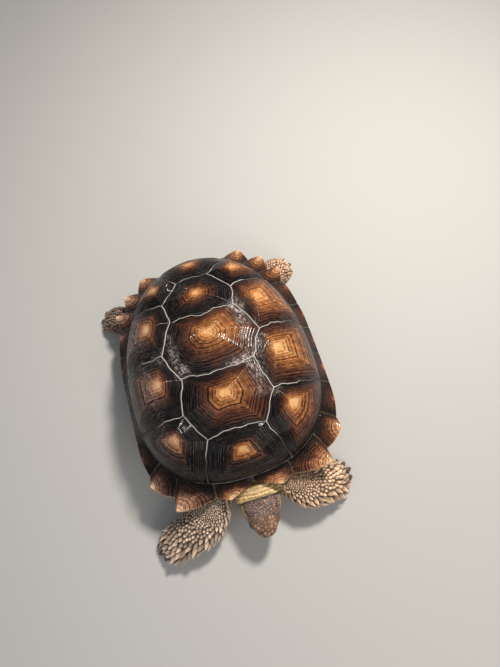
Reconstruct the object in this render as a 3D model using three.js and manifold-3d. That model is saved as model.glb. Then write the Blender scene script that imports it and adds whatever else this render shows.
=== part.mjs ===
// African spurred (sulcata) tortoise, life size, lying on its plastron with the head and feet out.
// Millimetres, +Z up. The head points to -Y and the animal's left side is towards +X.
// The origin is on the floor, under the middle of the whole animal.
import * as THREE from 'three';
import { mergeVertices } from 'three/addons/utils/BufferGeometryUtils.js';
import Module from 'manifold-3d';

const wasm = await Module();
wasm.setup();

// ---------------------------------------------------------------- driving dimensions

const SHELL_Y = 10;              // the shell's widest station, a little behind the 2nd vertebral
const CROWN_Z = 197;             // height of the seams at the crown
const PLATE = 11;                // thickness of a shell plate, bone and horn
const SEAM = 0.45;               // each plate stops this far short of the seam
const BODY_GAP = 3.8;            // between the plates and the body inside, over the chords of both

// Two ovals around the shell: the rim, where the big scutes end, and the marginals' free edge.
const RIM = { half: 178, front: 192, rear: 248, frontPower: 2.5, rearPower: 2.1 };
const EDGE = { half: 195, front: 212, rear: 273, frontPower: 3.5, rearPower: 3 };
const RIM_Z = { side: 85, front: 98, rear: 105 };
const EDGE_Z = { side: 60, front: 92, rear: 66 };

// Seams of the vertebral row: [half width, y] of each corner, from the neck to the tail.
const CORNERS = {
  v12: [52.5, -110],
  c12: [81, -60],
  v23: [65.5, 0],
  c23: [90, 52],
  v34: [61, 111],
  c34: [66, 151],
  v45: [31, 191],
};
// The same seams on the midline, where they bow towards the neck or the tail.
const MIDLINE = { v12: -106, v23: -7, v34: 105, v45: 194 };
// Where the seams between the costals reach the rim, as degrees round it (0 is the side, -90 the neck).
const COSTAL_SEAMS = { v1: -65, c12: -17.8, c23: 12.2, c34: 39.4, v5: 65 };
// Centres of growth of the big scutes: [distance from the midline, y].
const VERTEBRAL_HUBS = [[0, -136], [0, -45], [0, 62], [0, 145], [0, 224]];
const COSTAL_HUBS = [[99, -88], [102, 6], [99, 110], [74, 186]];
// How far the middle of a scute stands over its seams.
const VERTEBRAL_RISE = [6, 8.5, 9, 7, 6];
const COSTAL_RISE = 9;

// Marginals, from the neck to the tail: the seams between them as degrees round the rim and
// round the free edge, how far the edge is drawn in at each seam, and each one's pointed tip.
const MARGINAL_RIM = [-90, -67.5, -47.5, -35.4, -17.8, -1, 12.2, 24.4, 39.4, 48.2, 57.6, 69.3];
const MARGINAL_EDGE = [-90, -69.7, -50, -34.6, -17.2, -1, 11.4, 22.6, 34.5, 43, 54, 68];
const EDGE_INSET = [12, 1, 1, 1, 0, 0, 0, 1, 6, 7, 8, 7];
const TIP_REACH = [14, 22, 10, 1, 0, 0, 1, 3, 18, 16, 15];
const TIP_LIFT = [2, 4, 3, 0, 0, 0, 0, 2, 6, 7, 6];
const TIP_PLACE = [0.65, 0.84, 0.78, 0.5, 0.5, 0.5, 0.5, 0.72, 0.5, 0.48, 0.45];
const SUPRACAUDAL = { reach: -14, lift: -15 };

// Plastron: midline seams from the throat to the tail, and the lobes' half widths there.
const PLASTRON_SEAMS = [-198, -166, -100, -66, 66, 142, 188];
const LOBE_HALF = [27, 52, 97, 0, 98, 72, 30];
const PLASTRON_PLATES = ['gular', 'humeral', 'pectoral', 'abdominal', 'femoral', 'anal'];
const FLAT_HALF = 95;            // half width of the flat that lies on the floor
const BRIDGE_HALF = 186;         // the bridge climbs to the side marginals
const BRIDGE_RISE = 47;
const BRIDGE_NOTCH = 34;         // how far it is drawn in before and behind, for the legs
const BRIDGE_Y = -8;             // middle of the bridge, and its reach before and behind
const BRIDGE_REACH = 92;

const COLOURS = {
  horn: '#4a3326', marginal: '#7a5636', plastron: '#c9ad78', skin: '#8d7b5c',
  head: '#6b5442', neck: '#a3945f', limb: '#8f7a63', eye: '#1a120d', jaw: '#8a7048',
};

// ---------------------------------------------------------------- solids

function volumeOf(geometry) {
  const at = geometry.attributes.position;
  const corner = [new THREE.Vector3(), new THREE.Vector3(), new THREE.Vector3()];
  let sum = 0;
  for (let i = 0; i < geometry.index.count; i += 3) {
    corner.forEach((vertex, k) => vertex.fromBufferAttribute(at, geometry.index.getX(i + k)));
    sum += corner[0].dot(corner[1].clone().cross(corner[2])) / 6;
  }
  return sum;
}

// Joins the shared vertices, drops the triangles that closed up, and turns all faces outward.
function weld(geometry) {
  geometry.deleteAttribute('normal');
  geometry.deleteAttribute('uv');
  const merged = mergeVertices(geometry, 1e-3);
  const kept = [];
  for (let i = 0; i < merged.index.count; i += 3) {
    const [a, b, c] = [0, 1, 2].map((k) => merged.index.getX(i + k));
    if (a !== b && b !== c && c !== a) kept.push(a, b, c);
  }
  merged.setIndex(kept);
  if (volumeOf(merged) < 0) merged.setIndex(kept.reverse());
  return merged;
}

// Moves every vertex of a primitive to place(vertex) and welds the result.
function reshape(geometry, place) {
  const at = geometry.attributes.position;
  const vertex = new THREE.Vector3();
  for (let i = 0; i < at.count; i += 1) {
    const moved = place(vertex.fromBufferAttribute(at, i));
    at.setXYZ(i, moved.x, moved.y, moved.z);
  }
  return weld(geometry);
}

function solid(geometry) {
  return new wasm.Manifold(new wasm.Mesh({
    numProp: 3,
    vertProperties: new Float32Array(geometry.attributes.position.array),
    triVerts: new Uint32Array(geometry.index.array),
  }));
}

function geometryOf(manifold) {
  const mesh = manifold.getMesh();
  const geometry = new THREE.BufferGeometry();
  geometry.setAttribute('position', new THREE.BufferAttribute(new Float32Array(mesh.vertProperties), 3));
  geometry.setIndex(Array.from(mesh.triVerts));
  return weld(geometry);
}

// Everything on one side of a plane: the side that `direction` points to.
function halfSpace(point, direction) {
  const size = 1200;
  const box = new THREE.BoxGeometry(size, size, size).translate(0, 0, size / 2);
  const turn = new THREE.Quaternion().setFromUnitVectors(new THREE.Vector3(0, 0, 1), direction);
  return solid(weld(box.applyQuaternion(turn).translate(point.x, point.y, point.z)));
}

const FLOOR_UP = halfSpace(new THREE.Vector3(0, 0, 0), new THREE.Vector3(0, 0, 1));

// A tube of changing section: section(s) gives its centre, side and up directions and sizes.
function loft(radial, steps, section) {
  return reshape(new THREE.CylinderGeometry(1, 1, 1, radial, steps), (vertex) => {
    const { centre, side, up, half, top, bottom, power = 2 } = section(vertex.y + 0.5);
    const across = Math.sign(vertex.x) * Math.abs(vertex.x) ** (2 / power);
    const high = Math.sign(vertex.z) * Math.abs(vertex.z) ** (2 / power);
    return centre.clone()
      .addScaledVector(side, across * half)
      .addScaledVector(up, high * (high > 0 ? top : bottom));
  });
}

// A loft along a smooth path, with [half width, half thickness] at each point of the path.
function limb({ path, girth }, radial, steps, grow = 0) {
  const route = new THREE.CatmullRomCurve3(path.map((point) => new THREE.Vector3(...point)));
  const sizes = new THREE.CatmullRomCurve3(girth.map(([half, thick]) => new THREE.Vector3(half, thick, 0)));
  const upright = new THREE.Vector3(0, 0, 1);
  return loft(radial, steps, (s) => {
    const along = route.getTangent(s);
    const side = along.clone().cross(upright).normalize();
    const up = side.clone().cross(along).normalize();
    const { x: half, y: thick } = sizes.getPoint(s).addScalar(grow);
    return { centre: route.getPoint(s), side, up, half, top: thick, bottom: thick, power: 2.3 };
  });
}

const model = new THREE.Group();

function add(name, geometry, colour, roughness = 0.6) {
  const material = new THREE.MeshStandardMaterial({ color: colour, roughness, metalness: 0 });
  const mesh = new THREE.Mesh(geometry, material);
  mesh.name = name;
  model.add(mesh);
}

// ---------------------------------------------------------------- the shell's surface

const radians = THREE.MathUtils.degToRad;
const lerp = THREE.MathUtils.lerp;
const smooth = THREE.MathUtils.smoothstep;

// Distance from the middle in units of an oval, so 1 is on the oval.
function ovalRadius(oval, across, along) {
  const power = along < 0 ? oval.frontPower : oval.rearPower;
  return (Math.abs(across) ** power + Math.abs(along) ** power) ** (1 / power);
}

function ovalLength(oval, along) {
  return along < 0 ? oval.front : oval.rear;
}

// The point of an oval in direction `degrees` (0 at the side, 90 at the tail), moved out by `out`.
function ovalPoint(oval, degrees, out = 0) {
  const across = Math.cos(radians(degrees));
  const along = Math.sin(radians(degrees));
  const radius = ovalRadius(oval, across, along);
  return new THREE.Vector3(
    (oval.half + out) * (across / radius),
    SHELL_Y + (ovalLength(oval, along) + out) * (along / radius),
    0,
  );
}

function rimHeight(sine) {
  return lerp(RIM_Z.side, sine < 0 ? RIM_Z.front : RIM_Z.rear, sine * sine);
}

// The dome is laid out flat as (u, v), where the distance from the middle runs evenly over the
// dome from 0 at the crown to 1 at the rim. FLATTEN keeps the steps over the dome even.
const FLATTEN = 1.6;

function layOut(x, y) {
  const across = x / RIM.half;
  const along = (y - SHELL_Y) / ovalLength(RIM, y - SHELL_Y);
  const radius = ovalRadius(RIM, across, along);
  const even = (1 - (1 - radius) ** (1 / FLATTEN)) / radius;
  return new THREE.Vector2(across * even, along * even);
}

function rimCorner(degrees) {
  const across = Math.cos(radians(degrees));
  const along = Math.sin(radians(degrees));
  return new THREE.Vector2(across, along).divideScalar(ovalRadius(RIM, across, along));
}

// The point of the dome over (u, v), moved out by `out` millimetres.
function domePoint(flat, out) {
  const even = Math.max(ovalRadius(RIM, flat.x, flat.y), 1e-6);
  const radius = 1 - (1 - Math.min(even, 1)) ** FLATTEN;
  const stretch = radius / even;
  const rise = (1 - radius ** 3) ** (2 / 3);
  const along = flat.y * stretch;
  return new THREE.Vector3(
    (RIM.half + out) * flat.x * stretch,
    SHELL_Y + (ovalLength(RIM, along) + out) * along,
    lerp(rimHeight(along / radius), CROWN_Z + out, rise),
  );
}

// ---------------------------------------------------------------- vertebral and costal scutes

// Points along a closed outline of corners: straight between them, or along the rim where both are on it.
function outline(corners, steps) {
  const points = [];
  corners.forEach((corner, i) => {
    const next = corners[(i + 1) % corners.length];
    const onRim = corner.rim !== undefined && next.rim !== undefined;
    for (let k = 0; k < steps; k += 1) {
      const part = k / steps;
      const turn = onRim ? THREE.MathUtils.euclideanModulo(next.rim - corner.rim + 180, 360) - 180 : 0;
      points.push(onRim
        ? rimCorner(corner.rim + turn * part)
        : corner.at.clone().lerp(next.at, part));
    }
  });
  return points;
}

function seamCorner([x, y]) {
  return { at: layOut(x, y) };
}

function rimSeam(degrees) {
  return { at: rimCorner(degrees), rim: degrees };
}

// A scute: concentric steps of growth around its hub, stretched from a lathe to its outline.
// The profile runs along the inner face from the hub to the seam, and back over the outer face.
function scute(name, corners, hub, rise) {
  const border = outline(corners, corners.length > 6 ? 2 : 3);
  const centre = layOut(...hub);
  const profile = [
    [0, -PLATE], [0.48, -PLATE], [0.8, -PLATE], [1, -PLATE],
    [1, 0], [0.93, 0.16 * rise], [0.62, 0.66 * rise], [0.28, rise], [0, rise + 0.6],
  ].map(([part, out]) => new THREE.Vector2(part, out));
  const geometry = reshape(new THREE.LatheGeometry(profile, border.length), (vertex) => {
    const turn = Math.atan2(vertex.x, vertex.z) / (2 * Math.PI);
    const spoke = border[Math.round((turn + 1) * border.length) % border.length];
    const part = Math.hypot(vertex.x, vertex.z);
    const point = domePoint(centre.clone().lerp(spoke, part), vertex.y);
    const inward = domePoint(centre, vertex.y).sub(point).normalize();
    return point.addScaledVector(inward, part * SEAM * 1.4);
  });
  add(name, geometry, COLOURS.horn, 0.35);
}

function mirrored(corners) {
  return [...corners].reverse().map((corner) => (corner.rim === undefined
    ? { at: new THREE.Vector2(-corner.at.x, corner.at.y) }
    : rimSeam(180 - corner.rim)));
}

function buildVertebrals() {
  const { v12, c12, v23, c23, v34, c34, v45 } = CORNERS;
  const middle = (seam) => seamCorner([0, MIDLINE[seam]]);
  const leftSides = [
    [rimSeam(-90), rimSeam(COSTAL_SEAMS.v1), seamCorner(v12), middle('v12')],
    [middle('v12'), seamCorner(v12), seamCorner(c12), seamCorner(v23), middle('v23')],
    [middle('v23'), seamCorner(v23), seamCorner(c23), seamCorner(v34), middle('v34')],
    [middle('v34'), seamCorner(v34), seamCorner(c34), seamCorner(v45), middle('v45')],
    [middle('v45'), seamCorner(v45), rimSeam(COSTAL_SEAMS.v5), rimSeam(90)],
  ];
  leftSides.forEach((left, i) => {
    const right = mirrored(left.slice(1, -1));
    scute(`vertebral_${i + 1}`, [...left, ...right], VERTEBRAL_HUBS[i], VERTEBRAL_RISE[i]);
  });
}

function buildCostals() {
  const { v12, c12, v23, c23, v34, c34, v45 } = CORNERS;
  const { v1, v5 } = COSTAL_SEAMS;
  const outlines = [
    [seamCorner(v12), rimSeam(v1), rimSeam(COSTAL_SEAMS.c12), seamCorner(c12)],
    [seamCorner(v23), seamCorner(c12), rimSeam(COSTAL_SEAMS.c12), rimSeam(COSTAL_SEAMS.c23), seamCorner(c23)],
    [seamCorner(v34), seamCorner(c23), rimSeam(COSTAL_SEAMS.c23), rimSeam(COSTAL_SEAMS.c34), seamCorner(c34)],
    [seamCorner(v45), seamCorner(c34), rimSeam(COSTAL_SEAMS.c34), rimSeam(v5)],
  ];
  outlines.forEach((corners, i) => {
    const [half, y] = COSTAL_HUBS[i];
    scute(`costal_left_${i + 1}`, corners, [half, y], COSTAL_RISE);
    scute(`costal_right_${i + 1}`, mirrored(corners), [-half, y], COSTAL_RISE);
  });
}

// ---------------------------------------------------------------- marginal scutes

function edgeHeight(degrees) {
  const sine = Math.sin(radians(degrees));
  return lerp(EDGE_Z.side, sine < 0 ? EDGE_Z.front : EDGE_Z.rear, smooth(Math.abs(sine), 0.1, 0.95));
}

// A point between the rim (across 0) and the free edge (across 1), before any tip.
function flangePoint(rimAngle, edgeAngle, inset, across) {
  const inner = ovalPoint(RIM, rimAngle);
  const outer = ovalPoint(EDGE, edgeAngle, -inset);
  const rimZ = rimHeight(Math.sin(radians(rimAngle))) - 2 * SEAM;
  const flare = 0.75;
  return new THREE.Vector3(
    lerp(inner.x, outer.x, across),
    lerp(inner.y, outer.y, across),
    lerp(rimZ, edgeHeight(edgeAngle), across ** flare),
  );
}

// The direction out of the flange's upper face, from two short steps over it.
function flangeNormal(rimAngle, edgeAngle, inset, across) {
  const step = 0.02;
  const start = Math.min(across, 1 - step);
  const from = flangePoint(rimAngle, edgeAngle, inset, start);
  const outwards = flangePoint(rimAngle, edgeAngle, inset, start + step).sub(from);
  const round = flangePoint(rimAngle + 1, edgeAngle + 1, inset, start).sub(from);
  return round.cross(outwards).normalize().negate();
}

function marginal(name, rimAngles, edgeAngles, insets, tip, side) {
  const width = ovalPoint(EDGE, edgeAngles[0]).distanceTo(ovalPoint(EDGE, edgeAngles[1]));
  const trim = SEAM / width;
  const box = new THREE.BoxGeometry(1, 1, 1, 4, 3, 1);
  const geometry = reshape(box, (vertex) => {
    const turn = vertex.x * 2;
    const even = turn < 0 ? tip.place * (1 + turn) : lerp(tip.place, 1, turn);
    const along = lerp(trim, 1 - trim, even);
    const across = vertex.y + 0.5;
    const place = [lerp(...rimAngles, along), lerp(...edgeAngles, along), lerp(...insets, along), across];
    const peak = (1 - Math.abs(turn) ** 1.3) * across ** 1.5;
    const point = flangePoint(...place);
    const outwards = ovalPoint(EDGE, place[1], 1).sub(ovalPoint(EDGE, place[1])).normalize();
    point.addScaledVector(outwards, tip.reach * peak);
    point.z += tip.lift * peak;
    if (vertex.z < 0) point.addScaledVector(flangeNormal(...place), -lerp(PLATE, 4, across));
    point.x *= side;
    return point;
  });
  add(name, geometry, COLOURS.marginal, 0.4);
}

function buildMarginals() {
  for (let i = 0; i + 1 < MARGINAL_RIM.length; i += 1) {
    const pair = (list) => [list[i], list[i + 1]];
    const tip = { reach: TIP_REACH[i], lift: TIP_LIFT[i], place: TIP_PLACE[i] };
    const where = [pair(MARGINAL_RIM), pair(MARGINAL_EDGE), pair(EDGE_INSET), tip];
    marginal(`marginal_left_${i + 1}`, ...where, 1);
    marginal(`marginal_right_${i + 1}`, ...where, -1);
  }
  const last = (list) => list[list.length - 1];
  const across = (list) => [last(list), 180 - last(list)];
  const drop = { ...SUPRACAUDAL, place: 0.5 };
  marginal('supracaudal', across(MARGINAL_RIM), across(MARGINAL_EDGE), [last(EDGE_INSET), last(EDGE_INSET)], drop, 1);
}

// ---------------------------------------------------------------- plastron

// Half width of the bridge, drawn in at the notches for the legs.
function bridgeHalf(y) {
  return BRIDGE_HALF - BRIDGE_NOTCH * Math.abs((y - BRIDGE_Y) / BRIDGE_REACH) ** 6;
}

// Height of the plastron's underside: flat on the floor, then climbing over the bridge.
function undersideHeight(x) {
  const part = Math.max(0, Math.abs(x) - FLAT_HALF) / (BRIDGE_HALF - FLAT_HALF);
  return BRIDGE_RISE * part ** 1.6;
}

// How far each seam sweeps back between the midline and the side.
const SEAM_SWEEP = [-11, 10, -6, 34, 8, -18, 14];

function buildPlastron() {
  PLASTRON_PLATES.forEach((name, i) => {
    const bridge = name === 'pectoral' || name === 'abdominal';
    const box = new THREE.BoxGeometry(2, 1, 1, bridge ? 12 : 6, bridge ? 2 : 3, 1);
    const geometry = reshape(box, (vertex) => {
      const across = Math.abs(vertex.x);
      const sweep = bridge ? across : across ** 1.5;
      const front = PLASTRON_SEAMS[i] + SEAM_SWEEP[i] * sweep + SEAM;
      const rear = PLASTRON_SEAMS[i + 1] + SEAM_SWEEP[i + 1] * sweep - SEAM;
      const along = vertex.y + 0.5;
      const y = lerp(front, rear, along);
      const lobe = lerp(LOBE_HALF[i], LOBE_HALF[i + 1], along) + Math.sin(Math.PI * along) * 5;
      const x = vertex.x * (bridge ? bridgeHalf(y) : lobe);
      return new THREE.Vector3(x, y, undersideHeight(x) + (vertex.z > 0 ? PLATE : 0));
    });
    add(`plastron_${name}`, geometry, COLOURS.plastron, 0.5);
  });
}

// ---------------------------------------------------------------- trunk

// The body inside the shell, level by level: height, half width, and reach to the front and rear.
const TRUNK_LEVELS = [
  [13.5, 92, 160, 166], [25, 124, 162, 172], [38, 146, 163, 184], [56, 162, 164, 204], [76, 165, 168, 232],
];
const DOME_LEVELS = [1, 0.84, 0.66, 0.46, 0.24, 0.02];

function trunkGeometry(grow) {
  const levels = TRUNK_LEVELS.length + DOME_LEVELS.length;
  const body = new THREE.CylinderGeometry(1, 1, 1, 28, levels - 1);
  return reshape(body, (vertex) => {
    const level = Math.round((vertex.y + 0.5) * (levels - 1));
    const onAxis = Math.hypot(vertex.x, vertex.z) < 0.5;
    const degrees = THREE.MathUtils.radToDeg(Math.atan2(vertex.z, vertex.x));
    if (level >= TRUNK_LEVELS.length) {
      const part = onAxis ? 0 : DOME_LEVELS[level - TRUNK_LEVELS.length];
      return domePoint(rimCorner(degrees).multiplyScalar(part), grow - PLATE - BODY_GAP);
    }
    const [height, half, front, rear] = TRUNK_LEVELS[level];
    const oval = { ...RIM, half: half + grow, front: front + grow, rear: rear + grow };
    const point = onAxis ? new THREE.Vector3(0, SHELL_Y, 0) : ovalPoint(oval, degrees);
    return point.setZ(level === 0 ? height - grow : height);
  });
}

// ---------------------------------------------------------------- head and neck

const SNOUT_Y = -288;
const COLLAR_Y = -221;           // front edge of the loose skin of the neck
const HEAD_TURN = 0.035;         // the head looks a little to the animal's right
const HEAD_Z = 60;
const MOUTH = { back: 40, gap: 0.5, drop: 5 };
const EYE = { back: 27, radius: 7, sink: 4.6, rise: 5 };

// Head outline: [distance back from the snout, half width, top, bottom] about the head's axis.
const HEAD_SHAPE = [
  [0, 7.5, 5, 6], [3, 12, 10, 11], [12, 19, 15.5, 15], [25, 26, 20.5, 18], [40, 32, 23.5, 20.5],
  [54, 35.5, 25, 22.5], [66.5, 36.5, 25.5, 23],
];

function headSection(back) {
  const next = HEAD_SHAPE.findIndex(([reach]) => reach >= back - 1e-6);
  const [a, b] = [HEAD_SHAPE[Math.max(next - 1, 0)], HEAD_SHAPE[next]];
  const part = a === b ? 0 : (back - a[0]) / (b[0] - a[0]);
  const [half, top, bottom] = [1, 2, 3].map((k) => lerp(a[k], b[k], part));
  return { centre: headAxis(back), half, top, bottom };
}

function headAxis(back) {
  const ahead = COLLAR_Y - SNOUT_Y - back;
  return new THREE.Vector3(-1.5 - HEAD_TURN * ahead, SNOUT_Y + back, HEAD_Z - 0.06 * ahead);
}

function behindCollar(gap) {
  return halfSpace(new THREE.Vector3(0, COLLAR_Y + gap, 0), new THREE.Vector3(0, 1, 0));
}

function buildHead() {
  const sideways = new THREE.Vector3(1, 0, 0);
  const upwards = new THREE.Vector3(0, 0, 1);
  const skull = solid(loft(18, HEAD_SHAPE.length - 1, (s) => {
    const shape = HEAD_SHAPE[Math.round(s * (HEAD_SHAPE.length - 1))];
    return { ...headSection(shape[0]), side: sideways, up: upwards, power: 2.2 };
  })).subtract(behindCollar(-0.2));
  const lip = headAxis(0).setZ(headAxis(0).z - MOUTH.gap);
  const corner = headAxis(MOUTH.back).setZ(headAxis(MOUTH.back).z - MOUTH.drop);
  const mouthLine = corner.clone().sub(lip);
  const mouthUp = mouthLine.clone().cross(sideways).negate().normalize();
  const under = (gap) => halfSpace(lip.clone().addScaledVector(mouthUp, -gap), mouthUp.clone().negate());
  const ahead = (gap) => halfSpace(corner.clone().add(new THREE.Vector3(0, gap, 0)), new THREE.Vector3(0, -1, 0));
  const jaw = skull.intersect(under(0.25)).intersect(ahead(-0.25));
  let cranium = skull.subtract(under(-0.25).intersect(ahead(0.25)));
  for (const [name, side] of [['eye_left', 1], ['eye_right', -1]]) {
    const { half } = headSection(EYE.back);
    const centre = headAxis(EYE.back).add(new THREE.Vector3(side * (half - EYE.sink), 0, EYE.rise));
    const ball = (radius) => weld(new THREE.SphereGeometry(radius, 10, 6).translate(centre.x, centre.y, centre.z));
    cranium = cranium.subtract(solid(ball(EYE.radius + 0.4)));
    add(name, ball(EYE.radius), COLOURS.eye, 0.1);
  }
  add('head', geometryOf(cranium), COLOURS.head, 0.6);
  add('lower_jaw', geometryOf(jaw), COLOURS.jaw, 0.6);
}

const NECK = {
  path: [[0, -128, 50], [0, -160, 50], [0, -192, 53], [-1, -212, 58], [-1.5, COLLAR_Y - 1, 60]],
  girth: [[46, 31], [45, 30], [44, 28.5], [44.5, 28], [40.5, 27.5]],
};

// ---------------------------------------------------------------- limbs and tail

// Each limb: a path out of the shell to the tip of the foot, its [half width, half thickness],
// the part of the path where the foot begins, and the claws' spread round the end of the foot.
const LIMBS = {
  fore_right: {
    path: [[-78, -128, 58], [-80, -184, 54], [-106, -226, 42], [-148, -242, 30], [-180, -250, 18], [-197, -254, 12]],
    girth: [[30, 26], [33, 27], [38, 27], [36, 24], [31, 19], [20, 11]],
    wrist: 0.68,
    claws: { count: 5, fan: 56, reach: 25, length: 21, radius: 5 },
  },
  fore_left: {
    path: [[78, -128, 58], [68, -190, 53], [92, -223, 42], [124, -226, 31], [150, -222, 18], [165, -219, 12]],
    girth: [[30, 26], [33, 27], [37, 27], [35, 24], [31, 19], [20, 11]],
    wrist: 0.66,
    claws: { count: 5, fan: 56, reach: 25, length: 20, radius: 5 },
  },
  hind_right: {
    path: [[-92, 148, 50], [-122, 180, 42], [-155, 206, 32], [-179, 221, 21], [-187, 227, 5], [-187, 227, -8]],
    girth: [[33, 24], [32, 23], [30, 22], [29, 24], [28, 26], [27, 26]],
    wrist: 0.58,
    claws: { count: 4, fan: 50, reach: 27, length: 20, radius: 5.5 },
  },
  hind_left: {
    path: [[92, 148, 50], [122, 180, 42], [150, 208, 32], [172, 223, 21], [180, 228, 5], [180, 228, -8]],
    girth: [[33, 24], [32, 23], [30, 22], [29, 24], [28, 26], [27, 26]],
    wrist: 0.58,
    claws: { count: 4, fan: 50, reach: 27, length: 20, radius: 5.5 },
  },
};

// Claws fanned over the floor round the ball of the foot, the last point of the path but one.
function clawSolids(path, { count, fan, reach, length, radius }) {
  const ball = new THREE.Vector3(...path[path.length - 2]);
  const ahead = ball.clone().sub(new THREE.Vector3(...path[path.length - 3])).setZ(0).normalize();
  return Array.from({ length: count }, (_, i) => {
    const angle = radians(lerp(-fan, fan, i / (count - 1)));
    const points = ahead.clone().applyAxisAngle(new THREE.Vector3(0, 0, 1), angle);
    const root = ball.clone().addScaledVector(points, reach - 11).setZ(radius + 2);
    points.z = -0.15;
    const turn = new THREE.Quaternion().setFromUnitVectors(new THREE.Vector3(0, 1, 0), points.normalize());
    const cone = new THREE.ConeGeometry(radius, length, 5).translate(0, length / 2, 0);
    return solid(weld(cone.applyQuaternion(turn).translate(root.x, root.y, root.z)));
  });
}

function buildLimbs(middle) {
  for (const [name, { path, girth, wrist, claws }] of Object.entries(LIMBS)) {
    const whole = solid(limb({ path, girth }, 14, 9)).subtract(middle).intersect(FLOOR_UP);
    const route = new THREE.CatmullRomCurve3(path.map((point) => new THREE.Vector3(...point)));
    const [cut, along] = [route.getPoint(wrist), route.getTangent(wrist)];
    const backwards = along.clone().negate();
    let foot = whole.intersect(halfSpace(cut.clone().addScaledVector(along, 0.2), along));
    for (const claw of clawSolids(path, claws)) foot = foot.add(claw);
    foot = foot.intersect(FLOOR_UP);
    const leg = whole.intersect(halfSpace(cut.clone().addScaledVector(along, -0.2), backwards));
    add(`${name.replace('_', '_leg_')}`, geometryOf(leg), COLOURS.limb, 0.8);
    add(`${name.replace('_', '_foot_')}`, geometryOf(foot), COLOURS.limb, 0.8);
  }
}

const TAIL = {
  path: [[0, 168, 44], [0, 205, 40], [4, 236, 30], [12, 258, 18], [20, 268, 10]],
  girth: [[24, 20], [20, 17], [14, 13], [9, 8], [4, 4]],
};

function buildFlesh() {
  add('trunk', trunkGeometry(0), COLOURS.skin, 0.8);
  const trunk = solid(trunkGeometry(0.4));
  const neck = solid(limb(NECK, 16, 7)).subtract(trunk).intersect(behindCollar(0.2));
  const tail = solid(limb(TAIL, 10, 7)).subtract(trunk);
  add('neck', geometryOf(neck), COLOURS.neck, 0.8);
  add('tail', geometryOf(tail), COLOURS.limb, 0.8);
  buildLimbs(trunk.add(solid(limb(NECK, 16, 7, 0.4))));
}

// ---------------------------------------------------------------- the whole animal

buildVertebrals();
buildCostals();
buildMarginals();
buildPlastron();
buildFlesh();
buildHead();

// The origin goes to the floor under the middle of the animal.
const bounds = new THREE.Box3().setFromObject(model);
const middle = bounds.getCenter(new THREE.Vector3());
model.position.set(-middle.x, -middle.y, -bounds.min.z);

const root = new THREE.Group();
root.add(model);
root.updateMatrixWorld(true);
export default root;
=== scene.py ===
"""African spurred (sulcata) tortoise, life size: shell plates, skin, scales, claws and eyes.

Shapes are worked out in millimetres in the tortoise's own frame: the floor is z = 0, the head
points to -Y, the animal's left is +X, and y = 0 is the seam between its 2nd and 3rd vertebral
scutes. to_frame() carries them into the model's frame, in metres.
"""
import math
from functools import partial

import bpy
import numpy as np
from bpy.props import FloatProperty, FloatVectorProperty, PointerProperty
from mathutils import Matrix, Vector
from mathutils.bvhtree import BVHTree
from mathutils.kdtree import KDTree
from mathutils.noise import noise


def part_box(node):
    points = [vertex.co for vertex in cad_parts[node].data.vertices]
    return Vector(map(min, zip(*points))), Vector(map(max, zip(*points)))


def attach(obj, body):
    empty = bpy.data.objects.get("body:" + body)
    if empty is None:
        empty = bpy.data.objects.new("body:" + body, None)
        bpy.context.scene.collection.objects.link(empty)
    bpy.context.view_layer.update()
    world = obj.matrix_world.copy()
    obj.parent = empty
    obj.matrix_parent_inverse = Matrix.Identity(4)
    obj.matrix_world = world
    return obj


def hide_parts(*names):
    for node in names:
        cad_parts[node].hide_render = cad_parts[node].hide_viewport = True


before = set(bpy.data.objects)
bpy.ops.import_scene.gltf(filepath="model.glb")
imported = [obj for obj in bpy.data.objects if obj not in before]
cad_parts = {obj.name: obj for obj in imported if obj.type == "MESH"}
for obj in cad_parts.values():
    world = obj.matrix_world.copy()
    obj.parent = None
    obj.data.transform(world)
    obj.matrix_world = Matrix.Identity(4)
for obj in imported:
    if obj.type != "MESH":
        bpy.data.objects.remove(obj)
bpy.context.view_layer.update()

bl_info = {
    "name": "Sulcata tortoise",
    "version": (1, 0, 0),
    "blender": (4, 5, 0),
    "location": "3D View > Sidebar > Tortoise",
    "description": "Builds a life-size sulcata tortoise around its packed solids",
    "category": "Object",
}


# ---------------------------------------------------------------- what a user may change

def linear(colour):
    """An sRGB hex colour as linear RGBA."""
    parts = [int(colour[i:i + 2], 16) / 255 for i in (1, 3, 5)]
    return (*[c / 12.92 if c <= 0.04045 else ((c + 0.055) / 1.055) ** 2.4 for c in parts], 1.0)


def length_setting(name, text, default, low, high):
    return FloatProperty(name=name, description=text, default=default, min=low, max=high, unit="LENGTH")


def colour_setting(name, text, default):
    return FloatVectorProperty(name=name, description=text, default=linear(default), subtype="COLOR",
                               size=4, min=0, max=1)


def power_setting(name, text, default):
    return FloatProperty(name=name, description=text, default=default, min=0, max=200, unit="POWER")


class HornSettings(bpy.types.PropertyGroup):
    """Sizes and colours of the shell's horn."""
    groove: length_setting("Growth groove", "Depth of the groove between two years' growth", 0.0008, 0, 0.002)
    crest: length_setting("Corner ridge", "Height of the ridges to a scute's corners", 0.0008, 0, 0.003)
    seam: length_setting("Seam", "Half the width of the new horn between scutes", 0.0006, 0.0003, 0.003)
    areola: colour_setting("Areola", "Horn in the middle of a scute", "#e2b47e")
    amber: colour_setting("Amber", "Pale growth rings", "#a96d3e")
    brown: colour_setting("Brown", "Later growth rings", "#653c2b")
    dark: colour_setting("Dark", "The newest, darkest growth", "#150f10")
    new_horn: colour_setting("New horn", "Dry new horn in the seams", "#e6ded6")
    straw: colour_setting("Straw", "Horn of the underside", "#cdb17c")


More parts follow.
